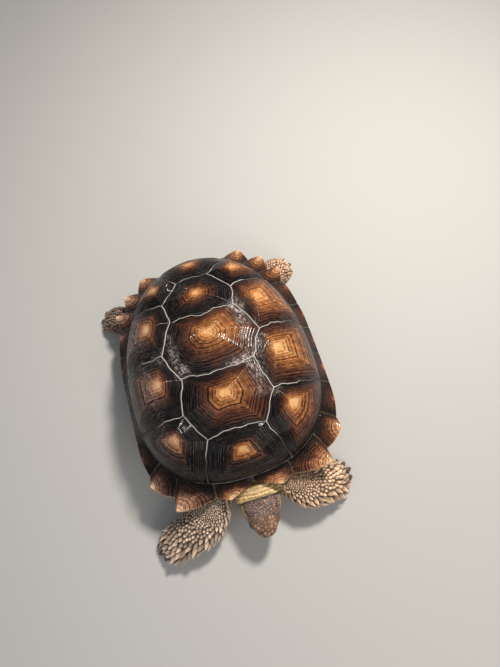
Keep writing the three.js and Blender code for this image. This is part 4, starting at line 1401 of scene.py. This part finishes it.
def spread_roots(surface, reach, size_of, seed, tries):
    """Roots spread over surface(s, angle) so that each keeps its own size clear of the next."""
    rng = np.random.default_rng(seed)
    s, angle = rng.uniform(*reach, tries), rng.uniform(0, 2 * math.pi, tries)
    points = surface(s, angle)
    step = 1e-3
    along = surface(np.minimum(s + step, 1), angle) - surface(s - step, angle)
    around = surface(s, angle + step) - surface(s, angle - step)
    normals = direction(np.cross(around, along))
    inner = surface(s, angle + math.pi) - points
    normals *= -np.sign((normals * inner).sum(axis=1))[:, None]
    sizes = size_of(points, normals, s)
    order = np.lexsort((rng.random(tries), -np.round(sizes)))
    kept, places, widths = [], np.empty((tries, 3)), np.empty(tries)
    for k in order[sizes[order] > 0]:
        n = len(kept)
        if (((places[:n] - points[k]) ** 2).sum(axis=1) < (0.5 * (widths[:n] + sizes[k])) ** 2).any():
            continue
        places[n], widths[n] = points[k], sizes[k]
        kept.append(k)
    return [values[kept] for values in (points, normals, direction(along), sizes, s, angle)]


def settle(points, normals, tree):
    """Moves roots onto the skin."""
    placed, facing = points.copy(), normals.copy()
    for k, point in enumerate(points):
        hit, normal, _, _ = tree.find_nearest(Vector(to_frame(point)))
        placed[k] = (np.array(hit) - ORIGIN) / MM
        facing[k] = normal
    return placed, facing


def room_around(points, sizes, ahead, beside):
    """How far each scale's outline may reach along each ray, sharing the ground with its neighbours."""
    forest = KDTree(len(points))
    for k, point in enumerate(points):
        forest.insert(point, k)
    forest.balance()
    near = np.array([[found[1] for found in forest.find_n(point, NEIGHBOURS + 1)][1:] for point in points])
    to_near = points[near] - points[:, None]
    flat_x = (to_near * ahead[:, None]).sum(axis=2)
    flat_y = (to_near * beside[:, None]).sum(axis=2)
    length = np.maximum(np.hypot(flat_x, flat_y), 1e-6)
    share = sizes[:, None] / (sizes[:, None] + sizes[near])
    rays = np.empty((len(points), RAYS))
    for ray in range(RAYS):
        turn = 2 * math.pi * ray / RAYS
        facing = (flat_x * math.cos(turn) + flat_y * math.sin(turn)) / length
        limit = np.where(facing > 0.1, share * length / np.maximum(facing, 0.1), FAR)
        rays[:, ray] = np.minimum(limit.min(axis=1), 0.72 * sizes)
    return rays


def build_coat(name, surface, reach, size_of, tries, seeds, dress, tree):
    """Scales rooted over surface(s, angle), each as wide as its neighbours leave room for.

    dress(points, normals, along, sizes) gives how they lie, how pointed and how high they are, and
    their colours.
    """
    points, normals, along, sizes, s, angle = spread_roots(surface, reach, size_of, seeds[0], tries)
    lie, pointed, height, colours = dress(points, normals, along, sizes)
    points, normals = settle(points, normals, tree)
    count = len(points)
    rng = np.random.default_rng(seeds[1])
    lie = direction(lie) + pointed[:, None] * rng.uniform(-0.3, 0.3, (count, 3))
    height = height * (1 + pointed * rng.uniform(-0.3, 0.4, count))
    lie = direction(lie - normals * (lie * normals).sum(axis=1)[:, None])
    beside = np.cross(normals, lie)
    rays = room_around(points, sizes, lie, beside)

    level, ray, faces = scale_pattern()
    shape = lerp(np.array(GRANULE)[None], np.array(SPUR)[None], pointed[:, None, None])
    shift, rise, spread = np.moveaxis(shape[:, level], 2, 0)
    turn = 2 * math.pi * ray / RAYS
    extent = rays[:, ray] * spread * 0.96
    keel = 1 + 0.12 * pointed[:, None] * np.cos(turn)[None] ** 2
    move_x = extent * np.cos(turn) + shift * (sizes * 0.5)[:, None]
    move_y = extent * np.sin(turn)
    move_z = rise * height[:, None] * keel
    move_z += rng.uniform(-0.1, 0.1, (count, 1)) * height[:, None] * (level > 0)
    placed = (points[:, None] + lie[:, None] * move_x[..., None] + beside[:, None] * move_y[..., None]
              + normals[:, None] * move_z[..., None])
    placed[..., 2] = np.maximum(placed[..., 2], 0.3)

    mesh = bpy.data.meshes.new(name)
    corners = len(level)
    all_faces = [[v + corners * k for v in face] for k in range(count) for face in faces]
    mesh.from_pydata(to_frame(placed.reshape(-1, 3)), [], all_faces)
    piece = bpy.data.objects.new(name, mesh)
    bpy.context.scene.collection.objects.link(piece)

    # Granules get less painted shade at their roots.
    flat = 0.5 * (pointed[:, None] == 0)             # granules are not dark at their roots
    levels = (flat + (1 - flat) * level / 3).ravel()
    chance, point_share = (np.repeat(values, corners) for values in (rng.random(count), pointed))
    keep(piece, hide=np.repeat(colours, corners, axis=0), scale=(chance, levels, point_share))
    tile = np.stack([(angle / (2 * math.pi)) % 1, s], axis=1) * 0.96 + 0.02
    local = np.stack([np.cos(turn), np.sin(turn)], axis=1) * (1 - level[:, None] / 3.0)
    uv = (tile[:, None] + PATCH * local[None]).reshape(-1, 2)
    owner = np.empty(len(mesh.loops), np.int32)
    mesh.loops.foreach_get("vertex_index", owner)
    mesh.uv_layers.new(name="OFBake").data.foreach_set("uv", uv[owner].astype(np.float32).ravel())
    finish(piece, scale_keratin, angle=50)


# ---------------------------------------------------------------- where the scales grow

def fore_front(points, normals):
    """1 on the foreleg's front and inner edge, where the spurs are, and 0 behind."""
    return smooth(np.maximum(-normals[:, 1], -np.sign(points[:, 0]) * normals[:, 0]), 0.15, 0.75)


def fore_sizes(points, normals, s):
    """Granules behind and above, growing towards the wrist, and long spurs along the front edge."""
    scales = settings().scales
    small, large = scales.granule / MM, scales.spur / MM
    small = small * lerp(0.5, 1.0, smooth(s, 0.28, 0.46)) + 3.6 * smooth(s, 0.36, 0.80)
    size = lerp(small, large * lerp(0.62, 1.0, smooth(s, 0.3, 0.8)), fore_front(points, normals) ** 1.5)
    size = np.where(normals[:, 2] < -0.4, 5.0, size)
    return np.where((s > 0.2) & (points[:, 2] > 2.5), size, 0)


def hind_sizes(points, normals, s):
    return np.where((s > 0.22) & (points[:, 2] > 2.5), 3.4 + 3.4 * smooth(s, 0.3, 0.8), 0)


def neck_sizes(points, normals, s):
    return np.where((s > 0.35) & (s < 0.985), 1.9, 0)


def tail_sizes(points, normals, s):
    return np.where((s > 0.2) & (s < 0.985), 4.6 - 1.6 * s, 0)


def head_scale_sizes(points, normals, s):
    """Plates of the head: large over the snout, small behind, granules under the throat."""
    back, beside, above, wide, high = head_place(points)
    turn = np.arctan2(above, np.abs(beside))
    size = np.where(turn > 0.46, lerp(7.0, 3.8, smooth(back, 12, 40)), lerp(4.2, 2.6, smooth(back, 20, 44)))
    size = np.where((np.abs(np.abs(beside) - 4.6) < 2.5) & (back < 7) & (turn > 0.6), 6.0, size)
    size = np.where(high < -0.45, 2.6, size)
    for side in SIDES.values():
        size = np.where((np.hypot(*eye_distance(points, side)) < 9.4) & (side * wide > 0.3), 0, size)
    on_beak = (np.abs(above - mouth_height(back) + 0.3) < 3.4) & (back < 37)
    in_crease = bump(back - GROOVE_BACK, 1.2) * (high > 0.3) > 0.5
    shown = ~on_beak & ~in_crease & (back > 2.0) & (points[:, 1] < COLLAR_Y - 0.5)
    return np.where(shown, size, 0)


def scale_tones(points, normals, sizes, low, high, seed, most=1.0):
    """A scale's colour: near the skin's own on the small ones, pale horn on the big ones."""
    colours = hide_colour(points, normals) * [1.7, 1.7, 1.7, 1]
    lit = np.clip(colours[:, :3].mean(axis=1) / 0.14, 0.25, 1.15)
    horn = np.array(settings().scales.pale)[None] * np.column_stack([lit, lit, lit, np.ones(len(lit))])
    # The horn of the right side is greyer.
    horn = horn * lerp(np.ones(4), np.array([0.94, 1.0, 1.12, 1.0]), smooth(-points[:, :1], 10, 40))
    share = most * smooth(sizes, low, high) * (1 - 0.4 * smooth(sizes, 8.0, 12.0))
    share = share[:, None] * (0.6 + 0.4 * np.random.default_rng(seed).random((len(points), 1)))
    return colours * (1 - share) + horn * share


def dress_fore(points, normals, along, sizes):
    lie = along + np.array([0, -1.0, -0.25]) * (0.15 + 0.75 * fore_front(points, normals))[:, None]
    pointed = 0.34 + 0.66 * smooth(sizes, 4.8, 9.0)
    return lie, pointed, sizes * (0.15 + 0.21 * pointed), scale_tones(points, normals, sizes, -3.0, 5.5, 3)


def dress_hind(points, normals, along, sizes):
    outward = points - np.array([0, 120, 0])
    outward[:, 2] = 0
    pointed = 0.2 + 0.6 * smooth(sizes, 4.0, 6.6)
    tones = scale_tones(points, normals, sizes, 2.0, 8.0, 4, 0.4)
    return along + 0.8 * direction(outward), pointed, sizes * (0.2 + 0.3 * pointed), tones


def dress_tail(points, normals, along, sizes):
    return along, 0 * sizes + 0.4, sizes * 0.22, scale_tones(points, normals, sizes, 2.0, 7.0, 5)


def dress_neck(points, normals, along, sizes):
    return along, 0 * sizes, 0 * sizes + 0.2, hide_colour(points, normals) * [1.25, 1.25, 1.25, 1]


def dress_head(points, normals, along, sizes):
    return along, 0 * sizes, 0.11 * sizes + 0.1, hide_colour(points, normals) * [1.1, 1.1, 1.1, 1]


# ---------------------------------------------------------------- claws, eyes and beak

def build_claws(name):
    """Blunt claws fanned round the end of a foot, each a little hooked towards the floor."""
    number, fan, reach, length, thick = CLAWS[name]
    before, ball = np.array(LIMBS[name][0][-3:-1], float)
    heading = math.atan2(ball[1] - before[1], ball[0] - before[0])
    made = []
    for k in range(number):
        turn = heading + math.radians(lerp(-fan, fan, k / (number - 1)))
        ahead = np.array([math.cos(turn), math.sin(turn), 0.0])
        beside = np.array([-ahead[1], ahead[0], 0.0])
        root = ball + ahead * (reach - 12)
        root[2] = thick + 2.4
        long = length * (1.08 - 0.12 * abs(2 * k / (number - 1) - 1))

        def surface(s, angle):
            width = thick * (1 - s ** 2.4) ** 0.62 * (1 + 0.12 * s) + 0.25
            arch = 1.2 * np.sin(s * math.pi * 0.8) - 3.6 * s ** 2
            high = arch + np.sin(angle) * width * np.where(np.sin(angle) > 0, 0.85, 0.65)
            return (root + np.outer(s * long, ahead) + np.outer(np.cos(angle) * width, beside)
                    + np.outer(high, [0, 0, 1]))

        made.append(loft("claw", 16, 14, surface))
    piece = join(made, f"claws_{name}")
    lift_to(piece, 0.5)
    out = np.linalg.norm(get_points(piece)[:, :2] - ball[:2], axis=1)
    keep(piece, claw=smooth(out, reach - 8, reach + length - 12))
    finish(piece, claw_keratin)


def eye_look(side):
    """Where an eye looks, and the ways along the head and up its eyelids."""
    look = direction(np.array([side, -0.22, 0.02]))
    along = direction(np.cross([0, 0, 1.0], look))
    return look, along, np.cross(look, along)


def eyeball_centre(side):
    return eye_centre(side) - eye_look(side)[0] * 0.6


def build_eye(word):
    """An eyeball that looks out to the side, its pupil and iris under a clear wet front."""
    side = SIDES[word]
    deselect()
    bpy.ops.mesh.primitive_uv_sphere_add(segments=40, ring_count=28, radius=EYEBALL * MM)
    piece = new_piece(f"eyeball_{word}")
    points = read(piece) / MM
    look, along, up = eye_look(side)
    out = points[:, 2] / EYEBALL
    points *= (1 + 0.045 * smooth(out, 0.78, 1.0))[:, None]
    keep(piece, gaze=out)
    set_points(piece, points @ np.array([along, up, look]) + eyeball_centre(side))
    edit(piece, face_out)
    finish(piece, wet_eye, [f"eye_{word}"])


def build_lids(word, tree):
    """Wrinkled eyelids round an almond opening, the upper one heavier, sunk into the skin outside."""
    side = SIDES[word]
    look, along, up = eye_look(side)
    centre = eyeball_centre(side)
    piece, square = new_grid(f"eyelids_{word}", 64, 16)
    turn, share = square[:, 0] * 2 * math.pi, square[:, 1]
    outer = np.clip((share - 0.2) / 0.8, 0, 1)       # 0 at the opening; the rows before it turn inwards
    lean = np.sin(turn)
    upper = lean > 0
    long = lerp(5.3, 10.6, outer)
    tall = lerp(np.where(upper, 2.5, 3.1), np.where(upper, 9.2, 8.6), outer)
    flat_a, flat_b = long * np.cos(turn), tall * signed_power(lean, 1.15) - 0.4 * (1 - outer)
    ball = np.sqrt(np.maximum((EYEBALL * 1.04) ** 2 - flat_a ** 2 - flat_b ** 2, 0.5))
    flat = centre + np.outer(flat_a, along) + np.outer(flat_b, up)
    above = 30                                       # how far outside the eye the skin is looked for
    skin = np.empty(len(square))
    for k, point in enumerate(to_frame(flat + above * look)):
        hit = tree.ray_cast(Vector(point), Vector(-look), 2 * above * MM)
        skin[k] = above - (hit[3] / MM if hit[0] else above)
    roll = np.where(upper, 1.7, 1.1) * np.sin(np.clip(outer * 1.25, 0, 1) * math.pi) ** 0.8
    lines = 0.22 * np.sin(outer * 19 + 0.8 * np.sin(3 * turn)) * smooth(outer, 0.08, 0.3)
    high = lerp(ball + 0.15, skin - 0.9, smooth(outer, 0.05, 1.0)) + roll + lines
    high = np.where(share < 0.19, ball - 1.3 * (0.2 - share) / 0.2, high)
    set_points(piece, flat + np.outer(high, look))
    edit(piece, weld, face_out)
    if (read(piece, "normal") @ look).mean() < 0:
        edit(piece, bpy.ops.mesh.flip_normals)
    tone = np.array(settings().skin.crown) * [0.8, 0.78, 0.75, 1]
    keep(piece, hide=np.broadcast_to(tone, (len(piece.data.vertices), 4)))
    finish(piece, leathery_skin)


BEAK_TIP = 7.0          # how far the beak's edge runs across the front of the snout, either way


def build_beak():
    """The horny edges of both jaws, following the line of the mouth round the snout."""
    made = []
    # Each jaw's way from the mouth, length along a cheek, height, lip over the mouth's line and bulge.
    for way, long, height, lip, bulge in ((1, 44, 1.0, 0.15, 0.75), (-1, 42, 0.8, -0.35, 0.35)):
        piece, square = new_grid("beak", 72, 8, slab=True)
        course, share, inner = square[:, 0] * 2 - 1, square[:, 1], square[:, 2] < -0.5
        flank = np.abs(course) * long
        back = np.maximum(flank - BEAK_TIP, 0) + 0.4
        half, top, bottom = head_sizes(back)
        tall = lerp(5.2, 3.0, smooth(back, 4, 34)) * height
        rise = mouth_height(back) + lip + way * share * tall
        if way > 0:
            rise -= (1.0 * bump(flank, 2.2) - 0.6 * bump(flank - 5, 3)) * (1 - share)
        reach = np.clip(rise / np.where(rise > 0, top, bottom), -0.98, 0.98)
        slope = np.maximum(1 - np.abs(reach) ** HEAD_POWER, 0.05) ** (1 / HEAD_POWER)
        tip = np.sin(np.clip(flank / BEAK_TIP, 0, 1) * math.pi / 2)
        width = half * slope * smooth(flank, -3.5, BEAK_TIP) ** 0.8 * tip
        stand = bulge * np.sin(np.clip(share, 0.05, 1) * math.pi) ** 0.4
        grow = np.where(inner, -1.6, stand * smooth(1 - np.abs(course), 0, 0.12) - 0.7)
        swing = np.clip(flank / 12, 0, 1) * math.pi / 2
        axis = head_axis(back)
        keep(piece, claw=0.4 + 0.6 * share)
        set_points(piece, np.stack([
            axis[:, 0] + np.sign(course) * (width + np.sin(swing) ** 0.7 * grow),
            SNOUT_Y + back - np.cos(swing) * grow,
            axis[:, 2] + rise,
        ], axis=1))
        edit(piece, weld, face_out)
        made.append(piece)
    finish(join(made, "beak"), beak_keratin)


# ---------------------------------------------------------------- stage and camera

CAMERA = (36.96, -264.85, 1052.69)          # over the floor, in the tortoise's frame
CAMERA_TURN = (19.398, 3.811, -17.113)      # degrees about X, Y and Z
LENS, SENSOR = 28.07, 36.0                  # mm, the sensor's long side upright
AIM = (0, 0, 0.08)                          # what the lamps point at
LAMPS = (                                   # place and width in metres, and colour
    ("key", (0.75, 0.6, 1.42), 0.24, (1.0, 0.95, 0.88)),
    ("fill", (-1.2, -0.8, 1.2), 1.2, (0.85, 0.92, 1.0)),
    ("front", (0.5, -1.5, 1.0), 0.9, (1.0, 0.97, 0.93)),
)
SKY = (0.93, 0.95, 1.0, 1)


def build_stage():
    stage, scene = settings().stage, bpy.context.scene
    deselect()
    bpy.ops.mesh.primitive_plane_add(size=12, location=(0, 0, 0))
    floor = new_piece("floor")
    floor.data.materials.append(material(matt_floor))

    bpy.ops.object.camera_add(location=to_frame(CAMERA), rotation=[math.radians(a) for a in CAMERA_TURN])
    camera = new_piece("camera")
    camera.data.lens, camera.data.sensor_fit = LENS, "VERTICAL"
    camera.data.sensor_height = SENSOR
    camera.data.clip_start = 0.01
    scene.camera = camera

    scene.world = bpy.data.worlds.new("studio")
    scene.world.use_nodes = True
    tree = scene.world.node_tree
    fill(tree, tree.nodes["Background"], {0: SKY, 1: stage.room})
    for name, place, size, colour in LAMPS:
        aim = (Vector(AIM) - Vector(place)).to_track_quat("-Z", "Y").to_euler()
        bpy.ops.object.light_add(type="AREA", location=place, rotation=aim)
        lamp = new_piece(name).data
        lamp.size, lamp.energy, lamp.color = size, getattr(stage, name), colour
    scene.view_settings.view_transform = "Standard"


# ---------------------------------------------------------------- operators

class TORTOISE_OT_stage(bpy.types.Operator):
    """Adds the floor, the camera and the lights"""
    bl_idname = "tortoise.stage"
    bl_label = "Stage"

    def execute(self, context):
        build_stage()
        return {"FINISHED"}


class TORTOISE_OT_vertebrals(bpy.types.Operator):
    """Builds the five scutes along the back"""
    bl_idname = "tortoise.vertebrals"
    bl_label = "Vertebral scutes"

    def execute(self, context):
        for i, (names, hub, rise, rings, amber, lean) in enumerate(VERTEBRALS, 1):
            corners = corners_of(names)
            scute(f"vertebral_{i}", corners + mirrored(corners[1:-1]), hub, rise, rings, i, amber, lean)
        return {"FINISHED"}


class TORTOISE_OT_costals(bpy.types.Operator):
    """Builds the four big scutes of each side"""
    bl_idname = "tortoise.costals"
    bl_label = "Costal scutes"

    def execute(self, context):
        for i, (names, (half, y), rings, ambers) in enumerate(COSTALS):
            left = corners_of(names)
            for word, corners, seed, amber in zip(SIDES, (left, mirrored(left)), (10, 20), ambers):
                scute(f"costal_{word}_{i + 1}", corners, (SIDES[word] * half, y), COSTAL_RISE, rings, seed + i,
                      amber, COSTAL_LEAN[word])
        return {"FINISHED"}


class TORTOISE_OT_marginals(bpy.types.Operator):
    """Builds the marginal scutes round the shell's edge, and the one over the tail"""
    bl_idname = "tortoise.marginals"
    bl_label = "Marginal scutes"

    def execute(self, context):
        for i, tip in enumerate(zip(TIP_PLACE, TIP_REACH, TIP_LIFT)):
            ends = [table[i:i + 2] for table in (MARGINAL_RIM, MARGINAL_EDGE, EDGE_INSET)]
            amber = 0.58 if TIP_REACH[i] > POINTED else 0.8
            for word, side in SIDES.items():
                marginal(f"marginal_{word}_{i + 1}", *ends, tip, side, 60 + i + 20 * side, amber)
        ends = [(table[-1], 180 - table[-1]) for table in (MARGINAL_RIM, MARGINAL_EDGE)]
        tip = (0.5, SUPRACAUDAL_REACH, SUPRACAUDAL_LIFT)
        marginal("supracaudal", *ends, EDGE_INSET[-1:] * 2, tip, 1, 99, 0.6)
        return {"FINISHED"}


class TORTOISE_OT_seams(bpy.types.Operator):
    """Fills the grooves between the big scutes with new horn"""
    bl_idname = "tortoise.seams"
    bl_label = "Seams"

    def execute(self, context):
        build_seams()
        return {"FINISHED"}


class TORTOISE_OT_plastron(bpy.types.Operator):
    """Builds the plates of the underside"""
    bl_idname = "tortoise.plastron"
    bl_label = "Plastron"

    def execute(self, context):
        for i, name in enumerate(PLASTRON_PLATES):
            plastron_plate(name, i)
        return {"FINISHED"}


class TORTOISE_OT_skin(bpy.types.Operator):
    """Builds the one skin of head, neck, legs and tail"""
    bl_idname = "tortoise.skin"
    bl_label = "Skin"

    def execute(self, context):
        build_skin()
        return {"FINISHED"}


class TORTOISE_OT_leg_scales(bpy.types.Operator):
    """Grows the scales and spurs of the legs"""
    bl_idname = "tortoise.leg_scales"
    bl_label = "Leg scales"

    def execute(self, context):
        tree = skin_tree()
        for i, word in enumerate(SIDES):
            build_coat(f"scales_foreleg_{word}", TUBES[f"fore_{word}"].point, (0.18, 1.0),
                       fore_sizes, 60000, (5 + i, 7), dress_fore, tree)
            build_coat(f"scales_hindleg_{word}", TUBES[f"hind_{word}"].point, (0.2, 1.0),
                       hind_sizes, 30000, (8 + i, 11), dress_hind, tree)
        return {"FINISHED"}


class TORTOISE_OT_small_scales(bpy.types.Operator):
    """Grows the small scales of the neck, the tail and the head"""
    bl_idname = "tortoise.small_scales"
    bl_label = "Neck, tail and head scales"

    def execute(self, context):
        tree = skin_tree()
        build_coat("scales_neck", NECK_TUBE.point, (0.3, 0.99), neck_sizes, 34000, (12, 13),
                   dress_neck, tree)
        build_coat("scales_tail", TAIL_TUBE.point, (0.2, 0.99), tail_sizes, 8000, (14, 15),
                   dress_tail, tree)
        build_coat("scales_head", lambda s, a: head_point(s * HEAD_LONG, a), (0.02, 0.999),
                   head_scale_sizes, 26000, (16, 18), dress_head, tree)
        return {"FINISHED"}


class TORTOISE_OT_claws(bpy.types.Operator):
    """Builds the claws of the four feet"""
    bl_idname = "tortoise.claws"
    bl_label = "Claws"

    def execute(self, context):
        for name in LIMBS:
            build_claws(name)
        return {"FINISHED"}


class TORTOISE_OT_eyes(bpy.types.Operator):
    """Builds both eyes and their lids"""
    bl_idname = "tortoise.eyes"
    bl_label = "Eyes"

    def execute(self, context):
        tree = skin_tree()
        for word in SIDES:
            build_eye(word)
            build_lids(word, tree)
        return {"FINISHED"}


class TORTOISE_OT_beak(bpy.types.Operator):
    """Builds the horny edges of the jaws"""
    bl_idname = "tortoise.beak"
    bl_label = "Beak"

    def execute(self, context):
        build_beak()
        return {"FINISHED"}


STEPS = ("stage", "vertebrals", "costals", "marginals", "seams", "plastron", "skin", "leg_scales", "small_scales",
         "claws", "eyes", "beak")


class TORTOISE_PT_panel(bpy.types.Panel):
    """Lists the tortoise's settings and its pieces"""
    bl_idname = "TORTOISE_PT_panel"
    bl_label = "Sulcata tortoise"
    bl_space_type = "VIEW_3D"
    bl_region_type = "UI"
    bl_category = "Tortoise"

    def draw(self, context):
        for group in ("horn", "skin", "scales", "stage"):
            box = self.layout.box()
            box.label(text=group.capitalize())
            part = getattr(context.scene.tortoise, group)
            for name in part.__annotations__:
                box.prop(part, name)
        for step in STEPS:
            self.layout.operator(f"tortoise.{step}")


CLASSES = (
    HornSettings, SkinSettings, ScaleSettings, StageSettings, TortoiseSettings,
    TORTOISE_OT_stage, TORTOISE_OT_vertebrals, TORTOISE_OT_costals, TORTOISE_OT_marginals, TORTOISE_OT_seams,
    TORTOISE_OT_plastron, TORTOISE_OT_skin, TORTOISE_OT_leg_scales, TORTOISE_OT_small_scales, TORTOISE_OT_claws,
    TORTOISE_OT_eyes, TORTOISE_OT_beak, TORTOISE_PT_panel,
)


def register():
    for part in CLASSES:
        bpy.utils.register_class(part)
    bpy.types.Scene.tortoise = PointerProperty(type=TortoiseSettings)


def unregister():
    del bpy.types.Scene.tortoise
    for part in reversed(CLASSES):
        bpy.utils.unregister_class(part)


def main():
    register()
    for step in STEPS:
        getattr(bpy.ops.tortoise, step)()


if __name__ == "__main__":
    main()
